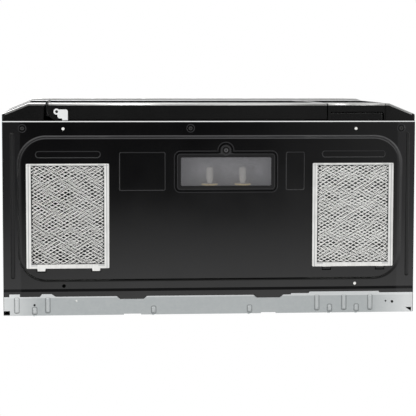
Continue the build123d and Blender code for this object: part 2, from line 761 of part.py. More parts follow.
with BuildPart() as door_frame:
    with BuildSketch(Plane.XY.offset(door_bottom + skin_gauge)):
        add(door_plan(frame_front))
    extrude(amount=door_top - door_bottom - 2 * skin_gauge)
    bevel_nose(door_left - 1, door_right + 1)
    # bed for the glass, window, finger grip
    block(door_left - 1, door_glass_right, trim_front - 1, trim_front + glass_gauge,
          band_bottom, band_top, mode=Mode.SUBTRACT)
    upright(window_left, window_right, window_bottom, window_top, 10.0,
            trim_front - 1, door_back + 1, mode=Mode.SUBTRACT)
    with BuildSketch(Plane.XY.offset(pocket_bottom)):
        with BuildLine():
            Polyline((pocket_left, trim_front - 1), (pocket_left + 3.0, trim_front + pocket_depth - 3),
                     (pocket_left + 6.0, trim_front + pocket_depth),
                     (pocket_right + 2.0, trim_front + pocket_depth),
                     (pocket_right + 3.5, trim_front + 5.0), (pocket_right, trim_front + 3.0),
                     (pocket_right, trim_front - 1), close=True)
        make_face()
    extrude(amount=pocket_top - pocket_bottom, mode=Mode.SUBTRACT)
    # bed for the steel inner panel
    block(panel_pan_left, panel_pan_right, web_y - pan_gauge, door_back + 1,
          panel_pan_bottom, panel_pan_top, mode=Mode.SUBTRACT)
    # chamber for the latch bar, its spring and its hooks
    block(latch_left - latch_room, latch_right + latch_room, latch_bar_front - latch_room,
          door_back + 1, latch_bar_bottom - latch_room,
          latch_bar_top + spring_length, mode=Mode.SUBTRACT)
    for low, high in ((door_bottom, door_bottom + pin_length + 4), (door_top - pin_length - 4, door_top)):
        rod((pin_x, pin_y, low), (0, 0, 1), pin_radius + pin_clearance, high - low, mode=Mode.SUBTRACT)
save(door_frame.part, "door_frame")

# stainless strips: the lower one is rolled under the door's front edge
with BuildPart() as door_skin:
    roll = trim_corner
    inner_roll = roll - skin_gauge
    with BuildSketch(Plane.YZ.offset(door_left + door_corner)):
        with BuildLine():
            Line((trim_front, band_bottom), (trim_front, door_bottom + roll))
            RadiusArc((trim_front, door_bottom + roll), (trim_front + roll, door_bottom), -roll)
            Line((trim_front + roll, door_bottom), (trim_front + roll, door_bottom + skin_gauge))
            RadiusArc((trim_front + roll, door_bottom + skin_gauge),
                      (trim_front + skin_gauge, door_bottom + roll), inner_roll)
            Line((trim_front + skin_gauge, door_bottom + roll), (trim_front + skin_gauge, band_bottom))
            Line((trim_front + skin_gauge, band_bottom), (trim_front, band_bottom))
        make_face()
    extrude(amount=door_right - door_left - door_corner)
    block(door_left + door_corner, door_right, trim_front, frame_front, band_top, door_top)
    block(door_left + door_corner, door_right, frame_front, trim_front + 10,
          door_top - skin_gauge, door_top)
save(door_skin.part, "door_skin")

with BuildPart() as door_glass:
    block(door_left + door_corner, door_glass_right, trim_front, trim_front + glass_gauge,
          band_bottom, band_top)
    chamfer(door_glass.faces().sort_by(Axis.Y)[0].edges(), 0.5)
save(door_glass.part, "door_glass")

with BuildPart() as door_inner_panel:
    # web and outer lip of the choke channel
    block(panel_pan_left, panel_pan_right, web_y - pan_gauge, door_back,
          panel_pan_bottom, panel_pan_top)
    block(panel_pan_left + pan_gauge, panel_pan_right - pan_gauge, web_y, door_back + 1,
          panel_pan_bottom + pan_gauge, panel_pan_top - pan_gauge, mode=Mode.SUBTRACT)
    # raised screen in the middle
    upright(screen_left, screen_right, screen_bottom, screen_top, 10.0, web_y, door_back)
    upright(screen_left + pan_gauge, screen_right - pan_gauge, screen_bottom + pan_gauge,
            screen_top - pan_gauge, 9.2, web_y - pan_gauge - 1, door_back - pan_gauge,
            mode=Mode.SUBTRACT)
save(door_inner_panel.part, "door_inner_panel")

with BuildPart() as door_inner_film:
    upright(screen_left + 6, screen_right - 6, screen_bottom + 6, screen_top - 6, 6.0,
            door_back, door_back + 0.5)
save(door_inner_film.part, "door_inner_film")

with BuildPart() as door_choke_cover:
    upright(panel_pan_left - 4, door_right - 2.5, panel_pan_bottom - 4, panel_pan_top + 4, 8.0,
            door_back, door_back + cover_gauge)
    upright(screen_left, screen_right, screen_bottom, screen_top, 10.0,
            door_back - 1, door_back + cover_gauge + 1, mode=Mode.SUBTRACT)
    for height in latch_heights:
        block(latch_left - latch_room, latch_right + latch_room, door_back - 1,
              door_back + cover_gauge + 1, height - 10.0, height + 6.0 + latch_travel,
              mode=Mode.SUBTRACT)
save(door_choke_cover.part, "door_choke_cover")

with BuildPart() as latch_hooks:
    block(latch_left, latch_right, latch_bar_front, latch_bar_back, latch_bar_bottom, latch_bar_top)
    for height in latch_heights:
        with BuildSketch(Plane.YZ.offset(latch_left)):
            with BuildLine():
                Polyline((latch_bar_back - 1, height - 5.0), (latch_bar_back - 1, height + 5.0),
                         (case_front + 12.0, height + 5.0), (case_front + 16.0, height + 1.0),
                         (case_front + 6.0, height - 9.0), (case_front + 3.0, height - 9.0),
                         (case_front + 3.0, height - 5.0), close=True)
            make_face()
        extrude(amount=latch_gauge)
save(latch_hooks.part, "latch_hooks")

with BuildPart() as latch_spring:
    spring_foot = ((latch_left + latch_right) / 2, (latch_bar_front + latch_bar_back) / 2,
                   latch_bar_top + body_gap)
    rod(spring_foot, (0, 0, 1), spring_radius, spring_length - body_gap)
    rod(spring_foot, (0, 0, 1), spring_radius - 0.6, spring_length, mode=Mode.SUBTRACT)
save(latch_spring.part, "latch_spring")

# ================================================================ control panel
board_left = panel_left + 10.5
board_right = panel_right - 9.8
board_bottom = band_bottom + 24.0
board_top = band_top - 23.0
board_gauge = 1.6
panel_wall = 2.5
panel_lip = 15.8

with BuildPart() as control_panel_frame:
    block(panel_left, panel_right, frame_front, face_front, door_bottom + skin_gauge,
          door_top - skin_gauge)
    bevel_nose(panel_left - 1, panel_right + 1)
    block(panel_left - 1, panel_right + 1, trim_front - 1, trim_front + glass_gauge,
          band_bottom, band_top, mode=Mode.SUBTRACT)
    # hollow from behind, open at the foot behind a deep front lip
    block(panel_left + panel_wall, panel_right - panel_wall, trim_front + glass_gauge + panel_wall,
          face_front + 1, 16.0, door_top - 6.0, mode=Mode.SUBTRACT)
    slab(panel_left + 3.8, panel_right - 1.8, trim_front + panel_lip, face_front + 6, 3.0,
         0, 17.0, mode=Mode.SUBTRACT)
    # posts that carry the circuit board
    for x in (board_left + 6, board_right - 6):
        for z in (board_bottom + 8, board_top - 8):
            block(x - 3, x + 3, trim_front + glass_gauge + 1, trim_front + glass_gauge + 17,
                  z - 3, z + 3)
save(control_panel_frame.part, "control_panel_frame")

with BuildPart() as control_panel_skin:
    with BuildSketch(Plane.YZ.offset(panel_left)):
        with BuildLine():
            Line((trim_front, band_bottom), (trim_front, door_bottom + roll))
            RadiusArc((trim_front, door_bottom + roll), (trim_front + roll, door_bottom), -roll)
            Line((trim_front + roll, door_bottom), (trim_front + roll, door_bottom + skin_gauge))
            RadiusArc((trim_front + roll, door_bottom + skin_gauge),
                      (trim_front + skin_gauge, door_bottom + roll), inner_roll)
            Line((trim_front + skin_gauge, door_bottom + roll), (trim_front + skin_gauge, band_bottom))
            Line((trim_front + skin_gauge, band_bottom), (trim_front, band_bottom))
        make_face()
    extrude(amount=panel_right - panel_left)
    block(panel_left, panel_right, trim_front, frame_front, band_top, door_top)
    block(panel_left, panel_right, frame_front, trim_front + 10, door_top - skin_gauge, door_top)
save(control_panel_skin.part, "control_panel_skin")

with BuildPart() as control_glass:
    block(panel_left, panel_right, trim_front, trim_front + glass_gauge, band_bottom, band_top)
    chamfer(control_glass.faces().sort_by(Axis.Y)[0].edges(), 0.5)
save(control_glass.part, "control_glass")

with BuildPart() as control_board:
    board_y = trim_front + glass_gauge + 17.0
    block(board_left, board_right, board_y, board_y + board_gauge, board_bottom, board_top)
    solder_side = board_y + board_gauge
    # transformer, two relays, processor, display header, then three capacitors
    for across, up, wide, high, deep in ((22, 24, 30, 26, 18), (62, 26, 18, 22, 15),
                                         (62, 56, 18, 22, 15), (22, 74, 22, 34, 9),
                                         (24, 126, 12, 40, 7), (54, 104, 9, 9, 14),
                                         (72, 104, 9, 9, 14), (54, 130, 9, 9, 14)):
        x = board_left + across
        z = board_bottom + up
        block(x - wide / 2, x + wide / 2, solder_side, solder_side + deep, z - high / 2, z + high / 2)
save(control_board.part, "control_board")

# ================================================================ grease filters
filter_bottom = panel_top - filter_gauge
mesh_gauge = 1.6

for side, filter_x in filter_xs.items():
    left = filter_x - filter_width / 2
    right = filter_x + filter_width / 2
    front = filter_y - filter_length / 2
    rear = filter_y + filter_length / 2
    with BuildPart() as filter_frame:
        slab(left, right, front, rear, 2.0, filter_bottom, panel_top)
        for offset_x in filter_tab_offsets:
            half = filter_tab_width / 2
            with BuildSketch(Plane.XY.offset(filter_bottom + 0.4)):
                with BuildLine():
                    tab = filter_x + offset_x
                    Polyline((tab - half, rear - 1), (tab - half + 1, rear + filter_tab_reach),
                             (tab + half - 1, rear + filter_tab_reach), (tab + half, rear - 1),
                             close=True)
                make_face()
            extrude(amount=filter_gauge - 0.8)
        block(left + filter_side_hem, right - filter_side_hem, front + filter_front_hem,
              rear - filter_rear_hem, filter_bottom - 1, panel_top + 1, mode=Mode.SUBTRACT)
    save(filter_frame.part, f"filter_frame_{side}")
    with BuildPart() as filter_mesh:
        mesh_bottom = filter_bottom + (filter_gauge - mesh_gauge) / 2
        block(left + filter_side_hem, right - filter_side_hem, front + filter_front_hem,
              rear - filter_rear_hem, mesh_bottom, mesh_bottom + mesh_gauge)
    save(filter_mesh.part, f"filter_mesh_{side}")

# ================================================================ cooktop lamp
cover_top = lamp_roof - lamp_gap
cover_bottom = cover_top - lamp_cover_gauge
collar_radius = 7.6
collar_bottom = cover_bottom - 0.8
housing_gauge = 0.8
lamp_housing_top = shelf_height

with BuildPart() as lamp_cover:
    with BuildSketch(Plane.XY.offset(cover_bottom)):
        add(lamp_outline(0))
    extrude(amount=lamp_cover_gauge)
    lower_rim = lamp_cover.faces().sort_by(Axis.Z)[0].edges()
    chamfer(lower_rim, 0.6)
    slab(lamp_left + lamp_frame_width, lamp_right - lamp_frame_width, lamp_front + lamp_frame_width,
         lamp_rear - lamp_frame_width, 3.0, 0, 2 * lamp_roof, mode=Mode.SUBTRACT)
    # raised collar round the captive screw
    rod((lamp_screw_x, lamp_screw_y, collar_bottom), (0, 0, 1), collar_radius, 1.0)
    rod((lamp_screw_x, lamp_screw_y, 0), (0, 0, 1), lamp_screw_radius, 2 * lamp_roof,
        mode=Mode.SUBTRACT)
save(lamp_cover.part, "lamp_cover")

with BuildPart() as lamp_glass:
    slab(lamp_left + lamp_frame_width, lamp_right - lamp_frame_width, lamp_front + lamp_frame_width,
         lamp_rear - lamp_frame_width, 3.0, cover_bottom + 0.5, cover_top)
save(lamp_glass.part, "lamp_glass")

with BuildPart() as lamp_cover_screw:
    rod((lamp_screw_x, lamp_screw_y, collar_bottom), (0, 0, -1), 4.4, 1.5)
    drum((lamp_screw_x, lamp_screw_y, collar_bottom), (0, 0, 1), lamp_screw_radius - 0.05, 6.8)
save(lamp_cover_screw.part, "lamp_cover_screw")

with BuildPart() as lamp_housing:
    block(lamp_left + 1, lamp_right - 1, lamp_front + 1, lamp_rear - 1, lamp_roof + base_gauge,
          lamp_housing_top)
    block(lamp_left + 1 + housing_gauge, lamp_right - 1 - housing_gauge,
          lamp_front + 1 + housing_gauge, lamp_rear - 1 - housing_gauge, 0,
          lamp_housing_top - housing_gauge, mode=Mode.SUBTRACT)
save(lamp_housing.part, "lamp_housing")

socket_back = lamp_rear - 1 - housing_gauge
socket_flange_y = socket_back - 9.0
with BuildPart() as lamp_sockets:
    for x in bulb_xs:
        drum((x, socket_back, bulb_z), (0, -1, 0), 10.5, 8.0)
        drum((x, socket_back - 8.0, bulb_z), (0, -1, 0), 14.0, 1.4, sides=20)
        drum((x, socket_back - 3.0, bulb_z), (0, -1, 0), bulb_stem_radius + 0.3, 12.0,
             mode=Mode.SUBTRACT)
save(lamp_sockets.part, "lamp_sockets")

with BuildPart() as lamp_bulbs:
    for x in bulb_xs:
        # stem in the socket, envelope and its drawn-in tip
        neck = socket_back - 14.0
        tip = socket_back - 42.0
        drum((x, socket_back - 3.0, bulb_z), (0, -1, 0), bulb_stem_radius, 11.0)
        drum((x, neck, bulb_z), (0, -1, 0), bulb_radius, neck - tip, sides=20)
    tips = lamp_bulbs.faces().filter_by(Axis.Y).sort_by(Axis.Y)[:2]
    chamfer(tips.edges(), 2.8)
save(lamp_bulbs.part, "lamp_bulbs")

# ================================================================ oven cavity
feed_front = turn_y - 23.3
feed_rear = turn_y + 56.7
feed_bottom = cavity_centre_z + 24.0
feed_top = cavity_centre_z + 74.0
coupler_hole = 8.0

with BuildPart() as oven_cavity:
    upright(cavity_left - cavity_gauge, cavity_right + cavity_gauge, cavity_floor - cavity_gauge,
            cavity_roof + cavity_gauge, cavity_radius + cavity_gauge, case_front,
            cavity_back + cavity_gauge)
    upright(cavity_left, cavity_right, cavity_floor, cavity_roof, cavity_radius,
            case_front - 1, cavity_back, mode=Mode.SUBTRACT)
    block(cavity_right - 1, cavity_right + 5, feed_front, feed_rear, feed_bottom, feed_top,
          mode=Mode.SUBTRACT)
    rod((turn_x, turn_y, cavity_floor - 5), (0, 0, 1), coupler_hole, 10, mode=Mode.SUBTRACT)
    # side rails are pressed into the walls above and below the middle
    for z in (cavity_centre_z - 30, cavity_centre_z + 40):
        wall_out = Plane(origin=(cavity_left, 0, 0), x_dir=(0, 1, 0), z_dir=(-1, 0, 0))
        press(wall_out, clipped(220.0, 14.0, (0, -z), 4.0), 2.0, cavity_gauge)
save(oven_cavity.part, "oven_cavity")

with BuildPart() as waveguide_cover:
    block(cavity_right - 0.6, cavity_right, feed_front - 6, feed_rear + 6, feed_bottom - 6,
          feed_top + 6)
save(waveguide_cover.part, "waveguide_cover")

guide_width = 38.0
guide_right = bay_left + guide_width
antenna_y = (feed_front + feed_rear) / 2
antenna_z = (feed_bottom + feed_top) / 2
with BuildPart() as waveguide:
    block(bay_left, guide_right, feed_front - 4, feed_rear + 4, feed_bottom - 4, feed_top + 4)
    block(bay_left - 1, guide_right - 1.2, feed_front - 2.8, feed_rear + 2.8, feed_bottom - 2.8,
          feed_top + 2.8, mode=Mode.SUBTRACT)
    drum((guide_right - 5, antenna_y, antenna_z), (1, 0, 0), 12.0, 10, mode=Mode.SUBTRACT)
save(waveguide.part, "waveguide")

yoke_length = 74.0
yoke_half = 42.0
yoke_gauge = 1.6
with BuildPart() as magnetron:
    block(guide_right, guide_right + yoke_length, antenna_y - yoke_half, antenna_y + yoke_half,
          antenna_z - 34, antenna_z + 34)
    block(guide_right + yoke_gauge, guide_right + yoke_length - yoke_gauge, antenna_y - yoke_half - 1,
          antenna_y + yoke_half + 1, antenna_z - 34 + yoke_gauge, antenna_z + 34 - yoke_gauge,
          mode=Mode.SUBTRACT)
    drum((guide_right, antenna_y, antenna_z), (1, 0, 0), 18.0, yoke_length, sides=12)
    for fin in range(4):
        x = guide_right + 15.0 + fin * 14.0
        block(x, x + 0.8, antenna_y - yoke_half + 2, antenna_y + yoke_half - 2,
              antenna_z - 34, antenna_z + 34)
    drum((guide_right, antenna_y, antenna_z), (-1, 0, 0), 7.5, 20.0, sides=12)
    block(guide_right + yoke_length, guide_right + yoke_length + 26, antenna_y - 22, antenna_y + 22,
          antenna_z - 24, antenna_z + 24)
save(magnetron.part, "magnetron")

# ================================================================ component bay
with BuildPart() as component_shelf:
    block(bay_left, inner_half_width, case_front + 6, back_inside - 4, shelf_height, shelf_top)
    block(bay_left + 2, inner_half_width - 2, case_front + 6, case_front + 6 + shelf_gauge,
          shelf_height - 12, shelf_top)
    for y in (case_front + 50.45, cavity_back - 107.0):
        block(bay_left + 16, bay_left + 26, y, y + 40, 0, 2 * shelf_top, mode=Mode.SUBTRACT)
save(component_shelf.part, "component_shelf")

core_width = 88.0
core_depth = 56.0
core_height = 74.0
core_left = bay_left + 45.0
core_right = core_left + core_width
core_front = case_front + 90.45
core_rear = core_front + core_depth
with BuildPart() as transformer_core:
    block(core_left, core_right, core_front, core_rear, shelf_top, shelf_top + core_height)
    core_middle = (core_left + core_right) / 2
    for side in (-1, 1):
        x = core_middle + side * 22.0
        block(x - 8, x + 8, core_front - 1, core_rear + 1, shelf_top + 15,
              shelf_top + core_height - 15, mode=Mode.SUBTRACT)
with BuildPart() as transformer_windings:
    with BuildSketch(Plane.XY.offset(shelf_top + 15)):
        with Locations((core_middle, (core_front + core_rear) / 2)):
            RectangleRounded(60.0, core_rear - core_front + 32, 14.0)
            Rectangle(28.0, core_rear - core_front, mode=Mode.SUBTRACT)
    extrude(amount=core_height - 30)
save(Compound(children=[transformer_core.part.solid(), transformer_windings.part.solid()]),
     "transformer")

can_length = 54.0
can_width = 34.0
can_height = 92.0
can_x = inner_half_width - can_width / 2 - 7.7
can_y = case_front + 120.45
with BuildPart() as capacitor:
    with BuildSketch(Plane.XY.offset(shelf_top)):
        with Locations((can_x, can_y)):
            SlotOverall(can_length, can_width, rotation=90)
    extrude(amount=can_height)
    for y in (can_y - 12.0, can_y + 12.0):
        block(can_x - 3, can_x + 3, y - 0.4, y + 0.4, shelf_top + can_height,
              shelf_top + can_height + 8)
save(capacitor.part, "capacitor")

choke_left = bay_left + 49.0
choke_front = case_front + 14.45
with BuildPart() as noise_filter:
    # circuit board on four feet, with a capacitor and a choke
    block(choke_left, choke_left + 94, choke_front, choke_front + 54, shelf_top + 6, shelf_top + 7.6)
    for x in (choke_left + 6, choke_left + 88):
        for y in (choke_front + 6, choke_front + 48):
            block(x - 2.5, x + 2.5, y - 2.5, y + 2.5, shelf_top, shelf_top + 6)
    block(choke_left + 16, choke_left + 34, choke_front + 8, choke_front + 42, shelf_top + 7.6,
          shelf_top + 22)
    drum((choke_left + 60, choke_front + 27, shelf_top + 7.6), (0, 0, 1), 13.0, 12.0)
save(noise_filter.part, "noise_filter")

fan_shaft_radius = 2.5
shroud_top = fan_z + 62.0
with BuildPart() as cooling_fan_shroud:
    block(bay_left, inner_half_width, fan_y, fan_y + 1.2, shelf_top, shroud_top)
    drum((fan_x, fan_y - 1, fan_z), (0, 1, 0), fan_radius + 5.0, 5, sides=20, mode=Mode.SUBTRACT)
    # bridge that holds the motor in the middle of the opening
    block(fan_x - 66, fan_x + 66, fan_y - 30, fan_y - 28.8, fan_z - 10, fan_z + 10)
    for side in (-1, 1):
        x = fan_x + side * 65.4
        block(x - 0.6, x + 0.6, fan_y - 30, fan_y, fan_z - 10, fan_z + 10)
    drum((fan_x, fan_y - 40, fan_z), (0, 1, 0), 8.0, 15, mode=Mode.SUBTRACT)
save(cooling_fan_shroud.part, "cooling_fan_shroud")

with BuildPart() as cooling_fan_motor:
    block(fan_x - 28, fan_x + 28, fan_y - 28.8, fan_y - 12, fan_z - 24, fan_z + 24)
    chamfer(cooling_fan_motor.edges().filter_by(Axis.Y), 4.0)
    drum((fan_x, fan_y - 12, fan_z), (0, 1, 0), 12.0, 4.0)
    rod((fan_x, fan_y - 20, fan_z), (0, 1, 0), fan_shaft_radius + running_gap, 20, mode=Mode.SUBTRACT)
save(cooling_fan_motor.part, "cooling_fan_motor")

with BuildPart() as cooling_fan_blade:
    rod((fan_x, fan_y - 19, fan_z), (0, 1, 0), fan_shaft_radius, 33.0)
    drum((fan_x, fan_y - 5, fan_z), (0, 1, 0), 14.0, 18.0)
    for blade in range(5):
        turn = blade * 72.0
        across = Vector(cos(radians(turn)), 0, sin(radians(turn)))
        # a flat blade, pitched about its own spoke, wider at the tip
        with BuildSketch(Plane(origin=(fan_x, fan_y + 4, fan_z), x_dir=across,
                               z_dir=Vector(0, 1, 0) * 0.86 + across.cross(Vector(0, 1, 0)) * 0.5)) as face:
            with BuildLine():
                Polyline((12.0, -7.0), (fan_radius, -13.0), (fan_radius, 16.0), (12.0, 7.0), close=True)
            make_face()
        extrude(face.sketch, amount=1.2)
save(cooling_fan_blade.part, "cooling_fan_blade")

with BuildPart() as interlock_bracket:
    carrier_left = latch_slot[0] - 5.0
    carrier_right = latch_slot[1] + 8.0
    carrier_bottom = latch_heights[0] - 28.0
    carrier_top = latch_heights[1] + 30.0
    block(carrier_left, carrier_right, case_front, case_front + 2.2, carrier_bottom, carrier_top)
    web = latch_slot[1] + 1.5
    block(web, web + 2.0, case_front, case_front + 42, carrier_bottom, carrier_top)
    for height in latch_heights:
        block(*latch_slot, case_front - 1, case_front + 3, height - 12.0,
              height + 12.0 + latch_travel, mode=Mode.SUBTRACT)
save(interlock_bracket.part, "interlock_bracket")

with BuildPart() as interlock_switches:
    for height in (latch_heights[0] - 16.0, *latch_heights):
        block(web - 6.4, web, case_front + 18, case_front + 38, height - 5, height + 5)
        block(web - 4.4, web - 2.0, case_front + 17.2, case_front + 18, height - 3, height + 3)
save(interlock_switches.part, "interlock_switches")

with BuildPart() as cavity_lamp:
    lamp_y = cavity_back - 57.0
    lamp_z = cavity_roof - 28.0
    block(bay_left, bay_left + 1.2, lamp_y - 24, lamp_y + 24, lamp_z - 20, lamp_z + 20)
    drum((bay_left + 1.2, lamp_y, lamp_z), (1, 0, 0), 12.0, 12.0)
    drum((bay_left + 13.2, lamp_y, lamp_z), (1, 0, 0), 9.0, 12.0)
save(cavity_lamp.part, "cavity_lamp")

# ================================================================ turntable
motor_top = cavity_floor - cavity_gauge
wheel_z = cavity_floor + 0.05 + wheel_radius
tray_bottom = wheel_z + wheel_radius + body_gap
coupler_radius = 9.0

with BuildPart() as turntable_motor:
    drum((turn_x, turn_y, motor_top), (0, 0, -1), 24.5, 17.0, sides=16)
    for side in (-1, 1):
        x = turn_x + side * 29.0
        block(x - 6, x + 6, turn_y - 5, turn_y + 5, motor_top - 1.2, motor_top)
    rod((turn_x, turn_y, motor_top - 14), (0, 0, 1), shaft_radius + running_gap, 20, mode=Mode.SUBTRACT)
save(turntable_motor.part, "turntable_motor")

with BuildPart() as drive_coupler:
    hub_bottom = cavity_floor + 1.0
    rod((turn_x, turn_y, motor_top - 12), (0, 0, 1), shaft_radius, hub_bottom - motor_top + 13)
    drum((turn_x, turn_y, hub_bottom), (0, 0, 1), coupler_radius, tray_bottom - hub_bottom)
    for lobe in range(3):
        angle = radians(90 + lobe * 120)
        centre = (turn_x + 11.0 * cos(angle), turn_y + 11.0 * sin(angle), tray_bottom - 8.0)
        drum(centre, (0, 0, 1), 4.0, 8.0, sides=6)
save(drive_coupler.part, "drive_coupler")

with BuildPart() as glass_tray:
    with BuildSketch(Plane.XZ):
        with BuildLine():
            rim_top = tray_bottom + 12.0
            Polyline((0, tray_bottom), (tray_radius - 16.0, tray_bottom),
                     (tray_radius, rim_top), (tray_radius - 4.0, rim_top),
                     (tray_radius - 17.5, tray_bottom + tray_gauge), (0, tray_bottom + tray_gauge),
                     close=True)
        make_face()
    revolve(axis=Axis.Z)
save(Pos(turn_x, turn_y, 0) * glass_tray.part, "glass_tray")

with BuildPart() as roller_ring:
    with BuildSketch(Plane.XY.offset(wheel_z - 2.6)):
        with Locations((turn_x, turn_y)):
            RegularPolygon(ring_radius + 3.0, 24)
            RegularPolygon(ring_radius - 3.5, 24, mode=Mode.SUBTRACT)
    extrude(amount=5.2)
    for arm in range(3):
        angle = radians(30 + arm * 120)
        out = (cos(angle), sin(angle), 0)
        start = (turn_x + (ring_radius + 2) * out[0], turn_y + (ring_radius + 2) * out[1], wheel_z)
        drum(start, out, wheel_axle_radius, wheel_width + 2.5)
save(roller_ring.part, "roller_ring")

for arm, name in enumerate(("roller_right", "roller_left", "roller_front")):
    angle = radians(30 + arm * 120)
    out = (cos(angle), sin(angle), 0)
    reach = ring_radius + 3.0 + body_gap
    start = (turn_x + reach * out[0], turn_y + reach * out[1], wheel_z)
    with BuildPart() as roller:
        drum(start, out, wheel_radius, wheel_width, sides=20)
        rod(start, out, wheel_axle_radius + running_gap, wheel_width, mode=Mode.SUBTRACT)
    save(roller.part, name)

# ================================================================ vent blower
housing_top = unit_height - wrap_gauge
inlet_radius = 34.0
motor_half = 40.0

with BuildPart() as blower_housing:
    for side in (-1, 1):
        low, high = sorted((side * scroll_inner_x, side * scroll_outer_x))
        for wall, mode in ((0, Mode.ADD), (scroll_gauge, Mode.SUBTRACT)):
            with BuildSketch(Plane.YZ.offset(low + wall)):
                with Locations((blower_y, blower_z)):
                    RegularPolygon(scroll_radius - wall, 16)
                with Locations(((outlet_front + outlet_rear) / 2, (blower_z + housing_top + 5 * wall) / 2)):
                    Rectangle(outlet_rear - outlet_front - 2 * wall,
                              housing_top + 5 * wall - blower_z)
            extrude(amount=high - low - 2 * wall, mode=mode)
        drum((low - 1, blower_y, blower_z), (1, 0, 0), inlet_radius, high - low + 2,
             mode=Mode.SUBTRACT)
save(blower_housing.part, "blower_housing")

with BuildPart() as blower_motor:
    drum((-motor_half, blower_y, blower_z), (1, 0, 0), 36.0, 2 * motor_half)
    for side in (-1, 1):
        drum((side * (motor_half - 3), blower_y, blower_z), (side, 0, 0), 12.0, 8.0)
        # arms to the scroll walls
        for z in (-1, 1):
            block(min(side * 30.0, side * scroll_inner_x), max(side * 30.0, side * scroll_inner_x),
                  blower_y - 4, blower_y + 4, min(blower_z + z * 30, blower_z + z * 46),
                  max(blower_z + z * 30, blower_z + z * 46))
    rod((-60, blower_y, blower_z), (1, 0, 0), blower_shaft_radius + running_gap, 120,
        mode=Mode.SUBTRACT)
save(blower_motor.part, "blower_motor")

with BuildPart() as blower_wheels:
    rod((-118, blower_y, blower_z), (1, 0, 0), blower_shaft_radius, 236)
    for side in (-1, 1):
        inner = side * 50.0
        drum((inner, blower_y, blower_z), (side, 0, 0), wheel_rim, 1.6, sides=20)
        drum((inner, blower_y, blower_z), (side, 0, 0), 10.0, 12.0, sides=8)
        low, high = sorted((inner, side * 120.0))
        for blade in range(blade_count):
            turn = blade * 360.0 / blade_count
            with BuildSketch(Plane.YZ.offset(low)):
                with Locations((blower_y, blower_z)):
                    with PolarLocations(wheel_rim - 5.6, 1, start_angle=turn):
                        Rectangle(9.0, 1.0, rotation=35)
            extrude(amount=high - low)
        with BuildSketch(Plane.YZ.offset(side * 120.0 - (1.6 if side > 0 else 0))):
            with Locations((blower_y, blower_z)):
                RegularPolygon(wheel_rim, 20)
                RegularPolygon(wheel_rim - 11.0, 20, mode=Mode.SUBTRACT)
        extrude(amount=1.6)
save(blower_wheels.part, "blower_wheels")

# ================================================================ screws
with BuildPart() as case_screws:
    for x, y in base_screw_points:
        screw((x, y, dimple_lift), (0, 0, -1))
    for x, z in back_screw_points:
        screw((x, back_bend, z), (0, 1, 0))
save(case_screws.part, "case_screws")
print(len(made), "nodes")
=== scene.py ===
import json
import math
from functools import partialmethod, reduce

import bmesh
import bpy
import numpy as np
from mathutils import Matrix, Vector


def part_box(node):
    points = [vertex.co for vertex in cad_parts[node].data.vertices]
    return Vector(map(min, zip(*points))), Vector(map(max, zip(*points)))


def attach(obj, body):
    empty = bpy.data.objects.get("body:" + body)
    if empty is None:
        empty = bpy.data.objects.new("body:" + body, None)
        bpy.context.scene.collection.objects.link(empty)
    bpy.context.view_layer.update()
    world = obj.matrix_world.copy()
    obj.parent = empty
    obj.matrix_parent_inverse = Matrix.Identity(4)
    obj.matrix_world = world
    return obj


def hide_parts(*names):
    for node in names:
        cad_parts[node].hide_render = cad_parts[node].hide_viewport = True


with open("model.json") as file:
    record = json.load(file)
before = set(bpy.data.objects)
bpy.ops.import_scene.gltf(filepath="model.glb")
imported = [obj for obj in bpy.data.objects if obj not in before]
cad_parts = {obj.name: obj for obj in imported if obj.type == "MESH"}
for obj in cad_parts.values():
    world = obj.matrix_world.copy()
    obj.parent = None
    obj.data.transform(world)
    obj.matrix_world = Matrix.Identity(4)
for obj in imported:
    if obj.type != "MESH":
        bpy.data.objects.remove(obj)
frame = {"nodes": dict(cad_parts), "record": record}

scene = bpy.context.scene
nodes = frame["nodes"]
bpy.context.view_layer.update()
mm = 0.001
print("frame loaded:", len(nodes), "nodes")


# a colour of 0 to 255 per channel, turned into the linear value that renders as it
def shade(*tone, change=0):
    parts = np.clip(np.array(tone) + change, 0, 255) / 255
    linear = np.where(parts <= 0.04045, parts / 12.92, ((parts + 0.055) / 1.055) ** 2.4)
    return (*[float(part) for part in linear], 1.0)


class Flow:
    # one output of a material's nodes: sums and products of flows add Math nodes
    def __init__(self, recipe, socket):
        self.recipe = recipe
        self.socket = socket

    def join(self, operation, other=0.0):
        return self.recipe.node("Math", {"operation": operation}, {0: self, 1: other})

    def __rsub__(self, other):
        return self * -1.0 + other

    # distance to the nearest multiple of a pitch, from 0 to half a pitch
    def folded(self, pitch):
        return self.join("PINGPONG", pitch / 2)

    __add__ = __radd__ = partialmethod(join, "ADD")
    __sub__ = partialmethod(join, "SUBTRACT")
    __mul__ = __rmul__ = partialmethod(join, "MULTIPLY")
    __pow__ = partialmethod(join, "POWER")
    __lt__ = partialmethod(join, "LESS_THAN")
    __gt__ = partialmethod(join, "GREATER_THAN")
    __abs__ = partialmethod(join, "ABSOLUTE")
    larger = partialmethod(join, "MAXIMUM")
    smaller = partialmethod(join, "MINIMUM")


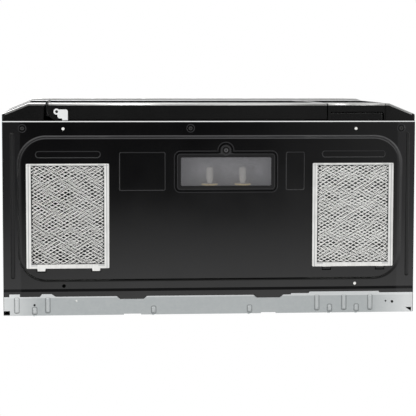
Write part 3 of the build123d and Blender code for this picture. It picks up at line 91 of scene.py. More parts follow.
class Recipe:
    # the nodes of one material, or of the world
    def __init__(self, name, tree=None):
        if tree is None:
            self.material = bpy.data.materials.new(name)
            self.material.use_nodes = True
            tree = self.material.node_tree
            self.shader = tree.nodes["Principled BSDF"]
        self.tree = tree
        self.place = None

    def node(self, kind, settings=None, values=None, output=0):
        made = self.tree.nodes.new("ShaderNode" + kind)
        for key, value in (settings or {}).items():
            setattr(made, key, value)
        for key, value in (values or {}).items():
            self.feed(made.inputs[key], value)
        return Flow(self, made.outputs[output])

    def feed(self, socket, value):
        if isinstance(value, Flow):
            self.tree.links.new(value.socket, socket)
        else:
            socket.default_value = value

    def coordinates(self, stretch=(1, 1, 1), turn=(0, 0, 0)):
        if self.place is None:
            self.place = self.node("TexCoord", output="Object")
        if stretch == (1, 1, 1) and turn == (0, 0, 0):
            return self.place
        return self.node("Mapping", {}, {"Vector": self.place, "Rotation": turn, "Scale": stretch})

    # the three numbers of a vector; of the object's own coordinates unless another is given
    def axes(self, vector=None):
        split = self.node("SeparateXYZ", {}, {0: vector or self.coordinates()})
        return [Flow(self, output) for output in split.socket.node.outputs]

    def noise(self, scale, detail=3.0, stretch=(1, 1, 1), turn=(0, 0, 0)):
        return self.node("TexNoise", {}, {"Vector": self.coordinates(stretch, turn),
                                          "Scale": scale, "Detail": detail})

    def cells(self, scale, output="Distance", feature="F1"):
        return self.node("TexVoronoi", {"feature": feature},
                         {"Vector": self.coordinates(), "Scale": scale}, output)

    # least below low, most above high, straight between
    def between(self, flow, low, high, least=0.0, most=1.0):
        return self.node("MapRange", {"clamp": True},
                         {"Value": flow, 1: low, 2: high, 3: least, 4: most})

    # 1 at and below low, 0 at and above high
    def near(self, flow, low, high):
        return self.between(flow, low, high, 1.0, 0.0)

    # 1 where a distance lies between two values, with soft ends
    def stripe(self, distance, low, high, soft=0.4 * mm):
        return (self.between(distance, low - soft, low + soft)
                * self.near(distance, high - soft, high + soft))

    def mix(self, factor, first, second):
        return self.node("Mix", {"data_type": "RGBA"}, {0: factor, 6: first, 7: second}, 2)

    # a tone that is darker where the factor is 0 and lighter where it is 1
    def tones(self, factor, tone, darker, lighter):
        return self.mix(factor, shade(*tone, change=-darker), shade(*tone, change=lighter))

    # tones laid over a colour one after another, each where its mask is 1
    def layers(self, colour, *layers):
        for mask, tone in layers:
            colour = self.mix(mask, colour, shade(*tone))
        return colour

    def bump(self, height, depth, strength):
        values = {"Height": height, "Distance": depth, "Strength": strength}
        self.feed(self.shader.inputs["Normal"], self.node("Bump", {}, values, "Normal"))

    # goes from one shader to another by a factor; one of them is what the material has so far
    def overlay(self, factor, first, second=None):
        surface = self.tree.nodes["Material Output"].inputs["Surface"]
        current = Flow(self, surface.links[0].from_socket)
        shaders = {1: first or current, 2: second or current}
        self.feed(surface, self.node("MixShader", {}, {0: factor, **shaders}))

    # sockets by their names in camelCase, such as baseColor for Base Color
    def finish(self, gloss=None, **sockets):
        if gloss is not None:
            self.shader.inputs["Specular IOR Level"].default_value = gloss
        for name, value in sockets.items():
            words = "".join(" " + c if c.isupper() else c for c in name)
            self.feed(self.shader.inputs[words[0].upper() + words[1:]], value)
        return self.material


# distance to a rectangle with rounded corners, negative inside it, in metres
def boxDistance(across, deep, centre, half, radius):
    first = abs(across - centre[0]) - (half[0] - radius)
    second = abs(deep - centre[1]) - (half[1] - radius)
    outside = (first.larger(0.0) ** 2 + second.larger(0.0) ** 2) ** 0.5
    return outside + first.larger(second).smaller(0.0) - radius


# distance to a point in the plan, in metres
def pointDistance(across, deep, centre):
    return ((across - centre[0]) ** 2 + (deep - centre[1]) ** 2) ** 0.5


# the rays that a light path tells apart, by their names
def lightRays(mat):
    path = mat.node("LightPath")
    return {output.name: Flow(mat, output) for output in path.socket.node.outputs}


# the photograph is taken from below, with the door side at the top of the picture
cameraLook = {"place": (-0.25119, -0.24647, -2.90106), "lens": 137.55, "sensor": 36.0,
              "pitch": 0.0842565, "yaw": -0.0844356, "roll": -0.0055048}


def makeCamera(look):
    sideTurn = Matrix.Rotation(look["pitch"], 3, "X")
    upTurn = Matrix.Rotation(look["yaw"], 3, "Y")
    rollTurn = Matrix.Rotation(look["roll"], 3, "Z")
    right, down, ahead = rollTurn @ upTurn @ sideTurn
    cameraData = bpy.data.cameras.new("photoCamera")
    cameraData.lens = look["lens"]
    cameraData.sensor_width = look["sensor"]
    cameraData.clip_end = 60
    camera = bpy.data.objects.new("photoCamera", cameraData)
    turn = Matrix((right, -down, -ahead)).transposed().to_4x4()
    camera.matrix_world = Matrix.Translation(look["place"]) @ turn
    scene.collection.objects.link(camera)
    scene.camera = camera


# glossy rays that meet the floor inside the object's footprint (centre, half size and corner)
# see it only past the nearby distance
floorLook = {"size": 12.0, "drop": 0.002, "tone": (226, 226, 224), "rough": 0.9,
             "footprint": ((0.0, 0.0), (0.3815, 0.199), 0.002), "nearby": 0.03}


# the floor shows from above only, so that the view from below looks through it
def makeFloor(look):
    half = look["size"] / 2
    corners = [(x * half, y * half, -look["drop"]) for x, y in ((-1, -1), (1, -1), (1, 1), (-1, 1))]
    mesh = bpy.data.meshes.new("studioFloor")
    mesh.from_pydata(corners, [], [(0, 1, 2, 3)])
    floor = bpy.data.objects.new("studioFloor", mesh)
    scene.collection.objects.link(floor)
    mat = Recipe("floorPaper")
    rays = lightRays(mat)
    behind = mat.node("NewGeometry", output="Backfacing")
    across, deep = mat.axes()[:2]
    beside = boxDistance(across, deep, *look["footprint"]) > 0.0
    mirrored = rays["Is Glossy Ray"] * (rays["Ray Length"] > look["nearby"]).larger(beside)
    shown = (rays["Is Camera Ray"] + mirrored) * (1 - behind)
    paper = mat.tones(mat.noise(3.0, 2.0), look["tone"], 0, -3)
    mesh.materials.append(mat.finish(0.0, baseColor=paper, roughness=look["rough"]))
    mat.overlay(shown, mat.node("BsdfTransparent"))


# the glow that glossy surfaces mirror: straight down it rises toward the rear and the right, and
# round the horizon it is bright at the rear and dim at the front; each entry says where in the
# ray's direction a change starts and ends, and the strengths there
worldLook = {"ambient": 0.5, "edge": (0.08, 0.106), "edgeSide": (-0.06, 0.04, 0.7, 1.0),
             "level": 0.64, "rise": (0.106, 0.14, 0.0, 0.45), "right": (0.1, 0.21, 0.0, 0.34),
             "fade": (0.3, 0.42, 1.0, 0.1), "least": 0.03, "rim": (-0.8, 0.8, 0.3, 1.25),
             "toRim": (-0.75, -0.3), "toSky": (0.12, 0.4)}


def makeWorld(look):
    world = bpy.data.worlds.new("studioWorld")
    scene.world = world
    world.use_nodes = True
    air = Recipe("studioWorld", world.node_tree)
    rays = lightRays(air)
    across, deep, height = air.axes(air.node("TexCoord", output="Generated"))
    edge = air.between(deep, *look["edge"])
    edge = edge * edge * (3 - edge * 2) * air.between(across, *look["edgeSide"])
    rising = edge * look["level"] + air.between(deep, *look["rise"])
    right = air.between(across, *look["right"]) * (1 - edge)
    down = ((rising + right) * air.between(deep, *look["fade"])).larger(look["least"])
    toRim = air.between(height, *look["toRim"])
    low = down * (1 - toRim) + air.between(deep, *look["rim"]) * toRim
    toSky = air.between(height, *look["toSky"])
    mirrored = low * (1 - toSky) + toSky
    glossy = rays["Is Glossy Ray"]
    seen = rays["Is Camera Ray"] + rays["Is Transmission Ray"]
    background = world.node_tree.nodes["Background"]
    background.inputs["Color"].default_value = (1, 1, 1, 1)
    air.feed(background.inputs["Strength"],
             glossy * mirrored + (1 - glossy - seen) * look["ambient"] + seen)


lampLook = {
    "overheadSoftbox": {"place": (-0.9, -1.6, 2.6), "size": (2.2, 1.6), "watts": 58.0},
    "rearSoftbox": {"place": (1.6, 2.2, 1.7), "size": (1.6, 1.4), "watts": 34.0},
    "lowRearSoftbox": {"place": (1.9, 3.0, -2.0), "size": (2.2, 1.6), "watts": 62.0},
    "lowLeftFill": {"place": (-2.6, 0.4, -2.6), "size": (1.4, 1.4), "watts": 46.0},
}
lampAim = Vector((0, 0, 0.15))


def makeLamps(looks):
    for name, look in looks.items():
        lamp = bpy.data.lights.new(name, "AREA")
        lamp.shape = "RECTANGLE"
        lamp.size, lamp.size_y = look["size"]
        lamp.energy = look["watts"]
        holder = bpy.data.objects.new(name, lamp)
        turn = (lampAim - Vector(look["place"])).to_track_quat("-Z", "Y").to_matrix().to_4x4()
        holder.matrix_world = Matrix.Translation(look["place"]) @ turn
        scene.collection.objects.link(holder)


makeCamera(cameraLook)
makeFloor(floorLook)
makeWorld(worldLook)
makeLamps(lampLook)
scene.view_settings.view_transform = "Standard"
print("stage ready")

# scales of the patterns that several finishes share, in cells per metre
grain = {"peel": 520.0, "haze": 9.0, "crystals": 260.0, "dust": 260.0, "speck": 640.0,
         "fine": 800.0}
# the painted dark reflection: its tone, and where in facing it starts and ends
darkReflectionLook = {"tone": (20, 20, 21), "start": 0.9, "end": 0.965}


# what faces the sky at a grazing angle mirrors the dark side of the room: painted there as a dark
# reflection, plain black
def paintedDarkReflection(mat, look=darkReflectionLook):
    facing = mat.node("LayerWeight", output="Facing")
    dark = mat.node("BsdfDiffuse", {}, {"Color": shade(*look["tone"])})
    mat.overlay(mat.between(facing, look["start"], look["end"]), None, dark)


# flat crystals of zinc, each with its own level from 0 to 1
def zincCrystals(mat):
    return mat.axes(mat.cells(grain["crystals"], "Color"))[0]


# zinc coated steel: crystals of slightly different grey, with rolling streaks
def galvanised(tone=(188, 192, 192)):
    mat = Recipe("galvanisedSheet")
    crystals = zincCrystals(mat)
    streaks = mat.noise(24.0, 4.0, (1, 6, 1))
    level = crystals * 0.3 + streaks * 0.35 + mat.noise(6.0, 2.0) * 0.5
    mat.bump(crystals * 0.5 + streaks * 0.4, 0.03 * mm, 0.4)
    zinc = mat.tones(mat.between(level, 0.3, 0.95), tone, 4, 4)
    return mat.finish(baseColor=zinc, metallic=0.3,
                      roughness=mat.between(level, 0.2, 1.0, 0.41, 0.54))


# stoved paint with a fine orange peel: its slow haze, and the colour that this gives
def enamelPaint(mat, tone, lighter, depth, strength):
    haze = mat.noise(grain["haze"])
    mat.bump(mat.noise(grain["peel"], 2.0), depth, strength)
    return haze, mat.tones(haze, tone, 0, lighter)


# black enamel with faint dust and a slow change of gloss
def blackEnamel(name, tone=(17, 17, 18), rough=0.3, gloss=0.3):
    mat = Recipe(name)
    haze, paint = enamelPaint(mat, tone, 5, 0.06 * mm, 0.35)
    dust = mat.near(mat.cells(grain["dust"]), 0.0, 0.05)
    return mat.finish(gloss, baseColor=mat.layers(paint, (dust * 0.12, (92, 92, 92))),
                      roughness=mat.between(haze, 0.25, 0.75, rough - 0.03, rough + 0.04))


# the base plate: glossy black enamel with painted highlights, lighter lines along every pressed
# edge and on the slopes, round the lamp's pocket, round the screws and along the plate's sides, and
# a painted shade, a near-black line along the recess's rear edge; its front hem is bare steel;
# forms are rounded rectangles in metres: centre, half size and corner; the recess's edge changes
# its look over the depths of rear and of behind
baseLook = {
    "tone": (7, 7, 8), "gloss": 0.6, "rough": 0.1, "bare": (246, 248, 248),
    "recess": ((0.00175, -0.00053), (0.35425, 0.13328), 0.052),
    # the tones of the slopes, the bends, the sides, the forms, the pocket and the screw rings are
    # painted highlights; the rear line's tone is painted shade
    "slope": (44, 44, 45), "fold": (80, 80, 81), "side": (40, 40, 41), "rearLine": (6, 6, 6),
    "bars": (((-0.2608, -0.1002), (0.059, 0.006), 0.0055),
             ((0.2661, -0.1002), (0.059, 0.006), 0.0055)),
    "pads": (((-0.1252, -0.069), (0.042, 0.035), 0.003), ((0.157, -0.069), (0.017, 0.035), 0.003)),
    "lamp": ((0.02905, -0.0681), (0.09515, 0.0378), 0.0106),
    "boss": (0.0286, -0.1075), "bossRadius": 0.0146,
    "form": (62, 62, 63), "pocket": (47, 47, 48),
    "beads": (((-0.3617, -0.00685), (0.0042, 0.1336), 0.003),
              ((0.3666, -0.00685), (0.0038, 0.1336), 0.003)),
    "screws": ((-0.3433, -0.148), (-0.0368, -0.148), (0.3541, -0.148)), "ring": (58, 58, 60),
    "rim": (0.3465, 0.3485), "edge": -0.1595, "low": 0.009, "rear": (-0.128, -0.05),
    "behind": (0.085, 0.125),
}


def basePlateEnamel(look):
    mat = Recipe("basePlateEnamel")
    across, deep, up = mat.axes()
    haze, paint = enamelPaint(mat, look["tone"], 3, 0.02 * mm, 0.15)
    rear = mat.between(deep, *look["rear"])
    behind = mat.between(deep, *look["behind"])
    distance = boxDistance(across, deep, *look["recess"])
    # masks of painted highlights on the pressed edges and slopes, and of painted shade along the
    # recess's rear edge
    slope = mat.stripe(distance, -0.0042, 0.0006) * (1 - rear)
    foldHighlights = mat.stripe(distance, -0.0008, 0.0013).larger(mat.stripe(distance, -0.0053, -0.0036))
    sides = mat.stripe(distance, -0.007, -0.002) * rear * (1 - behind)
    formHighlights = reduce(Flow.larger, [mat.stripe(boxDistance(across, deep, *form), -0.0011, 0.0005)
                                for form in look["bars"] + look["pads"]])
    boss = pointDistance(across, deep, look["boss"]) - look["bossRadius"]
    pocket = boxDistance(across, deep, *look["lamp"]).smaller(boss)
    rings = reduce(Flow.larger, [mat.stripe(pointDistance(across, deep, point), 0.006, 0.0078)
                                 for point in look["screws"]])
    dark = reduce(Flow.larger, [mat.stripe(boxDistance(across, deep, *form), -0.004, 0.0)
                                for form in look["beads"]])
    sideEdgeHighlights = mat.between(abs(across), *look["rim"]) * (1 - dark)
    bare = (deep < look["edge"]) * (up < look["low"])
    # each layer but the last is painted light, highlights and the shade line at the rear; the last
    # is the bare steel of the front hem
    colour = mat.layers(paint, (slope, look["slope"]), (foldHighlights * (1 - rear), look["fold"]),
                        (sides * 0.8, look["side"]),
                        (mat.stripe(distance, -0.0055, 0.002) * behind, look["rearLine"]),
                        (formHighlights, look["form"]), (mat.stripe(pocket, -0.0012, 0.001), look["pocket"]),
                        (rings * 0.8, look["ring"]), (sideEdgeHighlights * 0.5, look["side"]),
                        (bare, look["bare"]))
    rough = mat.between(haze, 0.25, 0.75, look["rough"] - 0.02, look["rough"] + 0.03)
    return mat.finish(look["gloss"], baseColor=colour, roughness=rough + dark * 0.25 + bare * 0.4)


# sheet coloured one way above a height and another way below it; the upper colour goes on inside a
# shell and in front of a line. On the face frame they are its black paint and its bare bottom edge,
# with a painted dark reflection at grazing angles; on the oven cavity and the shelf the darker
# lower tone is painted shade on their outsides and undersides
frameLook = {"above": (22, 22, 23), "below": (248, 249, 249), "height": 0.8 * mm, "gloss": 0.12,
             "front": -0.16125}
# for the oven cavity and the shelf the lower tone is painted shade
ovenLook = {"above": (192, 192, 189), "below": (60, 60, 62), "height": 0.138, "gloss": 0.5,
            "shell": ((-0.035, 0.176), (0.222, 0.115), 0.013)}
shelfLook = {"above": (176, 180, 180), "below": (74, 76, 76), "height": 0.0445, "gloss": 0.5}


def sidedSheet(name, look):
    mat = Recipe(name)
    across, deep, up = mat.axes()
    speck = mat.noise(grain["speck"], 2.0)
    cloud = mat.noise(12.0, 2.0)
    level = mat.between(speck * 0.5 + cloud * 0.5, 0.35, 0.65)
    mat.bump(speck, 0.04 * mm, 0.3)
    lower = up < look["height"]
    if "shell" in look:
        lower = lower * (boxDistance(across, up, *look["shell"]) > -0.5 * mm)
    if "front" in look:
        lower = lower * (deep > look["front"])
        paintedDarkReflection(mat)
    paints = []
    # the lower tone is a bare edge on the frame and painted shade on the oven and the shelf
    for side in ("above", "below"):
        paint = shade(*look[side])
        paints.append(mat.mix(level, paint, [part * 0.92 for part in paint[:3]] + [1.0]))
    return mat.finish(look["gloss"], baseColor=mat.mix(lower, *paints),
                      roughness=mat.between(cloud, 0.3, 0.7, 0.36, 0.48))


# zinc sheet of the rear wall with painted light and shade: paler toward both ends, a painted
# highlight on the top of each bead and dart of its flange with a narrow painted shadow round it,
# and a painted highlight along the flange's front lip
backLook = {
    "tones": ((182, 187, 188), (190, 194, 194)), "ends": (236, 238, 238), "line": (104, 107, 108),
    "top": (226, 228, 228), "lipTone": (244, 246, 246), "lip": 0.1625, "low": 0.004,
    "forms": [((x, 0.17575), (0.0044, 0.0145), 0.0028)
              for x in (-0.3554, -0.299, 0.1984, 0.2491, 0.2981)]
    + [((x, 0.186), (0.0044, 0.007), 0.0028) for x in (-0.3229, -0.1049, 0.0727, 0.2223, 0.2726)],
}


def rearZinc(look):
    mat = Recipe("rearZinc")
    across, deep, up = mat.axes()
    crystals = zincCrystals(mat)
    cloud = mat.noise(6.0, 2.0)
    level = mat.between(crystals * 0.35 + cloud * 0.6, 0.3, 0.9)
    mat.bump(crystals * 0.5 + cloud * 0.5, 0.03 * mm, 0.4)
    low = up < look["low"]
    distances = [boxDistance(across, deep, *form) for form in look["forms"]]
    lines = reduce(Flow.larger, [mat.stripe(away, -0.0008, 0.0006) for away in distances])
    inside = reduce(Flow.larger, [away < -0.002 for away in distances])
    # over the zinc: painted light toward the ends, painted shadow lines and highlights on the beads
    # and darts, and a painted highlight on the lip
    colour = mat.layers(mat.mix(level, *[shade(*tone) for tone in look["tones"]]),
                        (mat.between(abs(across + 0.008), 0.305, 0.372) * 0.8, look["ends"]),
                        (lines * low * 0.75, look["line"]), (inside * low * 0.3, look["top"]),
                        ((deep < look["lip"]) * low * 0.5, look["lipTone"]))
    return mat.finish(baseColor=colour, metallic=0.28,
                      roughness=mat.between(level, 0.0, 1.0, 0.42, 0.54))


# the lamp's cover: enamel with painted highlights, a pale line round its edge and a ring round its
# screw, and a painted shade, a near-black disc in the hollow round the screw
coverLook = {"frame": ((0.02905, -0.0681), (0.09055, 0.0332), 0.006), "tone": (19, 19, 20),
             "screw": (0.0286, -0.1075), "line": (50, 50, 51), "hole": (3, 3, 3), "gloss": 0.4}


def coverEnamel(look):
    mat = Recipe("lampCoverEnamel")
    across, deep = mat.axes()[:2]
    haze, paint = enamelPaint(mat, look["tone"], 4, 0.03 * mm, 0.2)
    away = pointDistance(across, deep, look["screw"])
    outline = boxDistance(across, deep, *look["frame"]).smaller(away - 0.01)
    # painted highlights on the edge and round the screw, painted shade in the screw's hollow
    colour = mat.layers(paint, (mat.stripe(outline, -0.0014, 0.0004), look["line"]),
                        (mat.stripe(away, 0.0066, 0.0098), look["line"]),
                        (mat.stripe(away, 0.0, 0.0062), look["hole"]))
    return mat.finish(look["gloss"], baseColor=colour,
                      roughness=mat.between(haze, 0.3, 0.7, 0.2, 0.27))


# white zinc inside the lamp box: a painted shade darkens it toward the sides of the window
reflectorLook = {"window": ((0.034, -0.072), (0.083, 0.026), 0.016), "shadow": (168, 167, 172),
                 "tone": (222, 222, 225)}


def reflectorZinc(look):
    mat = Recipe("reflectorZinc")
    across, deep = mat.axes()[:2]
    crystals = zincCrystals(mat)
    cloud = mat.noise(26.0, 2.0)
    away = boxDistance(across, deep, *look["window"])
    pale = mat.tones(crystals, look["tone"], 0, 10)
    shadow = mat.between(away + cloud * 0.012, -0.014, 0.012)
    mat.bump(cloud, 0.1 * mm, 0.3)
    return mat.finish(baseColor=mat.layers(pale, (shadow, look["shadow"])), metallic=0.1,
                      roughness=mat.between(crystals, 0.0, 1.0, 0.38, 0.48))


# black screw of the lamp's cover: a raised ring round a dark socket, the ring made lighter as a
# painted highlight
def ringScrew(centre):
    mat = Recipe("blackScrew")
    across, deep = mat.axes()[:2]
    fine = mat.noise(grain["fine"], 2.0)
    ring = mat.stripe(pointDistance(across, deep, centre), 0.0017, 0.0034)
    mat.bump(fine * 0.1 + ring, 0.4 * mm, 0.5)
    black = mat.tones(fine, (16, 16, 17), 0, 10)
    return mat.finish(baseColor=mat.layers(black, (ring, (88, 88, 90))), metallic=0.2,
                      roughness=mat.between(fine, 0.3, 0.7, 0.34, 0.46))


# a band of another tone on the steel, below a height, beyond a width and behind a depth: on the
# posts a near-black band at their lower outer ends, and on the grille a painted reflection, near
# white, along its lower edge
postLowerBand = {"tone": (14, 14, 15), "height": 0.0052, "beyond": 0.3745, "behind": -0.1755}
grilleReflectionBand = {"tone": (250, 250, 250), "height": 0.3489, "beyond": -1.0, "behind": -1.0}


# brushed stainless steel: long fine scratches along X change its colour and gloss
def brushedSteel(name, tone=(188, 188, 187), rough=0.3, cut=None):
    mat = Recipe(name)
    hairs = mat.noise(900.0, 3.0, (0.012, 1, 1))
    wide = mat.noise(90.0, 2.0, (0.05, 1, 1))
    level = mat.between(hairs * 0.6 + wide * 0.4, 0.3, 0.7)
    mat.bump(hairs, 0.03 * mm, 0.4)
    steel = mat.tones(level, tone, 14, 10)
    metal, brushed = 0.85, 0.5
    # the band replaces the steel there with a plain tone that is not metal
    if cut:
        across, deep, up = mat.axes()
        edge = (up < cut["height"]) * (abs(across) > cut["beyond"]) * (deep > cut["behind"])
        steel = mat.layers(steel, (edge, cut["tone"]))
        metal, brushed = (1 - edge) * metal, 0.0
    return mat.finish(baseColor=steel, roughness=level * 0.14 + (rough - 0.06),
                      metallic=metal, anisotropic=brushed)


# moulded plastic: a fine even texture with slight flow shading
def mouldedPlastic(name, tone, rough, texture=900.0, gloss=0.4, rim=False):
    mat = Recipe(name)
    if rim:
        paintedDarkReflection(mat)
    fine = mat.noise(texture, 2.0)
    flow = mat.noise(14.0, 3.0, (1, 1, 2.5))
    mat.bump(fine, 0.05 * mm, 0.35)
    colour = mat.tones(mat.between(flow, 0.3, 0.7), tone, 3, 4)
    return mat.finish(gloss, baseColor=colour,
                      roughness=mat.between(fine, 0.3, 0.7, rough - 0.06, rough + 0.06))


# zinc screws; those in the base plate, below the top height, are black and have a cross recess,
# darkened near black by painted shade
screwLook = {"points": baseLook["screws"], "top": 0.006, "armWidth": 0.6 * mm,
             "armReach": 2.4 * mm, "black": (66, 66, 66), "cross": (14, 14, 14)}


def screwMetal(look):
    mat = Recipe("crossScrews")
    across, deep, up = mat.axes()
    fine = mat.noise(grain["fine"], 2.0)
    arms = []
    for x, y in look["points"]:
        sideways, along = abs(across - x), abs(deep - y)
        arms.append((sideways.smaller(along) * (1 / look["armWidth"])).larger(
            sideways.larger(along) * (1 / look["armReach"])))
    below = up < look["top"]
    cross = mat.near(reduce(Flow.smaller, arms), 0.85, 1.0) * below
    mat.bump(fine * 0.1 - cross * 3.0, 0.4 * mm, 0.6)
    zinc = mat.mix(fine, shade(150, 152, 152), shade(172, 172, 170))
    # the cross recess's tone is painted shade
    colour = mat.layers(zinc, (below, look["black"]), (cross, look["cross"]))
    return mat.finish(baseColor=colour, metallic=0.45,
                      roughness=mat.between(fine, 0.3, 0.7, 0.36, 0.5))


# glossy black glass of the controls: faint outlines of the keys and of the display window
keypadLook = {"firstKey": (0.2707, 0.0885), "pitch": (0.0325, 0.0262), "key": (0.0135, 0.0092),
              "field": (0.2707, 0.154), "fieldHalf": (0.0485, 0.0785),
              "window": (0.2707, 0.2595), "windowHalf": (0.044, 0.0145), "line": 0.4 * mm,
              "windowTone": (20, 24, 26), "lineTone": (150, 150, 150)}


def keypadGlass(look):
    mat = Recipe("keypadGlass")
    across, _, up = mat.axes()
    haze = mat.noise(grain["haze"])

    # distance to a sharp rectangle, from the distances to its middle lines
    def outline(sideways, height, half):
        return (sideways - half[0]).larger(height - half[1])

    def panel(middle, half):
        return outline(abs(across - middle[0]), abs(up - middle[1]), half)

    def edge(distance):
        return mat.near(abs(distance), look["line"] * 0.6, look["line"])

    keys = outline((across - look["firstKey"][0]).folded(look["pitch"][0]),
                   (up - look["firstKey"][1]).folded(look["pitch"][1]), look["key"])
    field = panel(look["field"], look["fieldHalf"]) < 0
    window = panel(look["window"], look["windowHalf"])
    lines = (edge(keys) * field).larger(edge(window))
    paintedDarkReflection(mat)
    colour = mat.layers(mat.tones(haze, (11, 11, 12), 0, 4),
                        (window < 0, look["windowTone"]), (lines * 0.5, look["lineTone"]))
    return mat.finish(0.5, baseColor=colour,
                      roughness=mat.between(haze, 0.3, 0.7, 0.07, 0.14) + lines * 0.2)


# bare metal that was cast, turned or plated: fine grain, cloudy gloss and small scuffs
def plainMetal(name, tone, rough, metal, spread=10):
    mat = Recipe(name)
    fine = mat.noise(700.0)
    cloud = mat.noise(30.0)
    scuffs = mat.near(mat.cells(140.0, "Distance", "DISTANCE_TO_EDGE"), 0.0, 0.02)
    level = fine * 0.5 + cloud * 0.5
    mat.bump(fine, 0.04 * mm, 0.4)
    base = mat.tones(mat.between(level, 0.35, 0.65), tone, spread, spread)
    return mat.finish(baseColor=mat.layers(base, (scuffs * 0.08, (90, 90, 90))),
                      roughness=mat.between(level, 0.3, 0.7, rough - 0.08, rough + 0.1),
                      metallic=metal)


# clear or tinted glass that lets part of the light straight through
def paneGlass(name, tone, clear, rough=0.05, smear=0.04, rim=False):
    mat = Recipe(name)
    wipes = mat.noise(18.0, 4.0, (1, 2.2, 1), (0, 0, 0.5))
    ripple = mat.noise(7.0, 1.0)
    mat.bump(ripple, 0.2 * mm, 0.1)
    mat.finish(baseColor=mat.tones(ripple, tone, 0, 5),
               roughness=mat.between(wipes, 0.35, 0.7, rough, rough + smear))
    seeThrough = mat.node("BsdfTransparent", {}, {"Color": (0.96, 0.96, 0.965, 1)})
    facing = mat.node("LayerWeight", {}, {"Blend": 0.25}, "Fresnel")
    mat.overlay(mat.between(facing, 0.0, 1.0, 1 - clear, 1.0), seeThrough)
    if rim:
        paintedDarkReflection(mat)
    return mat.material


# frosted bulb: milky glass with a faint painted glow, though the lamp is not lit
def frostedBulb(glow=0.13):
    mat = Recipe("bulbGlass")
    frost = mat.noise(420.0, 2.0)
    mat.bump(frost, 0.04 * mm, 0.3)
    tint = mat.mix(frost, shade(240, 236, 228), shade(250, 247, 240))
    return mat.finish(baseColor=tint, emissionColor=tint, emissionStrength=glow,
                      roughness=mat.between(frost, 0.3, 0.7, 0.3, 0.4))


# sheet aluminium of a filter's frame: rolled grain, soft dents, and painted shade, a grey line
# along every fold and a fainter grey band inside each side; places in millimetres from the frame's
# sides; the end that is tucked in gets painted shadow, near black
hemLines = {"tone": (246, 246, 243), "grey": (158, 160, 164), "fold": (3.5, 4.9),
            "front": (3.0, 4.2), "inner": 8.4, "rear": 9.0, "corner": 1.0,
            "tucked": {"right": 4.6}, "shadow": (34, 34, 34)}


def rolledAluminium(name, side, look):
    mat = Recipe(name)
    low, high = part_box("filter_frame_" + side)
    roll = mat.noise(380.0, 3.0, (1, 0.08, 1))
    dents = mat.noise(46.0, 2.0)
    mat.bump(dents + roll * 0.25, 0.18 * mm, 0.5)
    sheet = mat.tones(mat.between(roll + dents, 0.7, 1.3), look["tone"], 14, 6)
    across, deep = mat.axes()[:2]
    inward = (across - low.x).smaller(high.x - across)
    fromFront = deep - low.y
    # painted shade: grey lines along the folds and a fainter band inside each side
    fold = mat.stripe(inward, *[part * mm for part in look["fold"]])
    fold = fold.larger(mat.stripe(fromFront, *[part * mm for part in look["front"]]) * 0.8)
    inner = mat.stripe(inward, look["inner"] * mm, 0.02) * (deep < high.y - look["rear"] * mm)
    fold = fold.larger(inner * 0.5) * (inward.smaller(fromFront) > look["corner"] * mm)
    colour = mat.layers(sheet, (fold * 0.8, look["grey"]))
    # painted shadow on the tucked end
    if side in look["tucked"]:
        tucked = deep > high.y - look["tucked"][side] * mm
        colour = mat.layers(colour, (tucked, look["shadow"]))
    return mat.finish(baseColor=colour, metallic=0.12,
                      roughness=mat.between(dents, 0.3, 0.7, 0.36, 0.5))


# pleated active carbon: grains of coke behind a net
def carbonBed():
    mat = Recipe("carbonBed")
    lumps = mat.cells(420.0)
    mat.bump(lumps, 0.8 * mm, 0.9)
    return mat.finish(baseColor=mat.mix(lumps, shade(38, 38, 40), shade(12, 12, 13)),
                      roughness=mat.between(lumps, 0.0, 1.0, 0.5, 0.9))


# circuit board: green lacquer, paler tracks in a grid, and a fine glass weave
def boardLacquer():
    mat = Recipe("boardLacquer")
    across, _, up = mat.axes()
    tracks = mat.near((across + up).folded(0.0051).smaller((across - up).folded(0.0072)),
                      0.0, 0.6 * mm)
    patch = mat.noise(60.0, 2.0) > 0.5
    weave = mat.noise(1500.0, 1.0)
    mat.bump(weave + tracks * 2.0, 0.05 * mm, 0.4)
    green = mat.mix(tracks * patch, shade(24, 92, 52), shade(92, 150, 96))
    return mat.finish(baseColor=green, roughness=mat.between(weave, 0.3, 0.7, 0.3, 0.42))


# transformer: copper coils beside dark laminated iron, split at a depth from its middle
windingLook = {"middle": -0.042, "split": 0.0282, "pitch": 1.1 * mm}


def woundIron(look):
    mat = Recipe("woundIron")
    deep, up = mat.axes()[1:]
    wires = mat.between(up.folded(look["pitch"]), 0.0, look["pitch"] / 2)
    coil = abs(deep - look["middle"]) > look["split"]
    mat.bump(wires, 0.3 * mm, 0.6)
    iron = mat.mix(wires, shade(66, 64, 62), shade(92, 90, 86))
    copper = mat.mix(wires, shade(122, 62, 30), shade(190, 112, 62))
    return mat.finish(baseColor=mat.mix(coil, iron, copper), metallic=0.7,
                      roughness=mat.between(wires, 0.0, 1.0, 0.3, 0.5))


# pale grey enamel of the cavity; the door's inner panel is black, with a screen of round holes in
# staggered rows behind the film
doorScreen = {"pitch": 2.4 * mm, "radius": 0.82 * mm, "margin": 2 * mm}


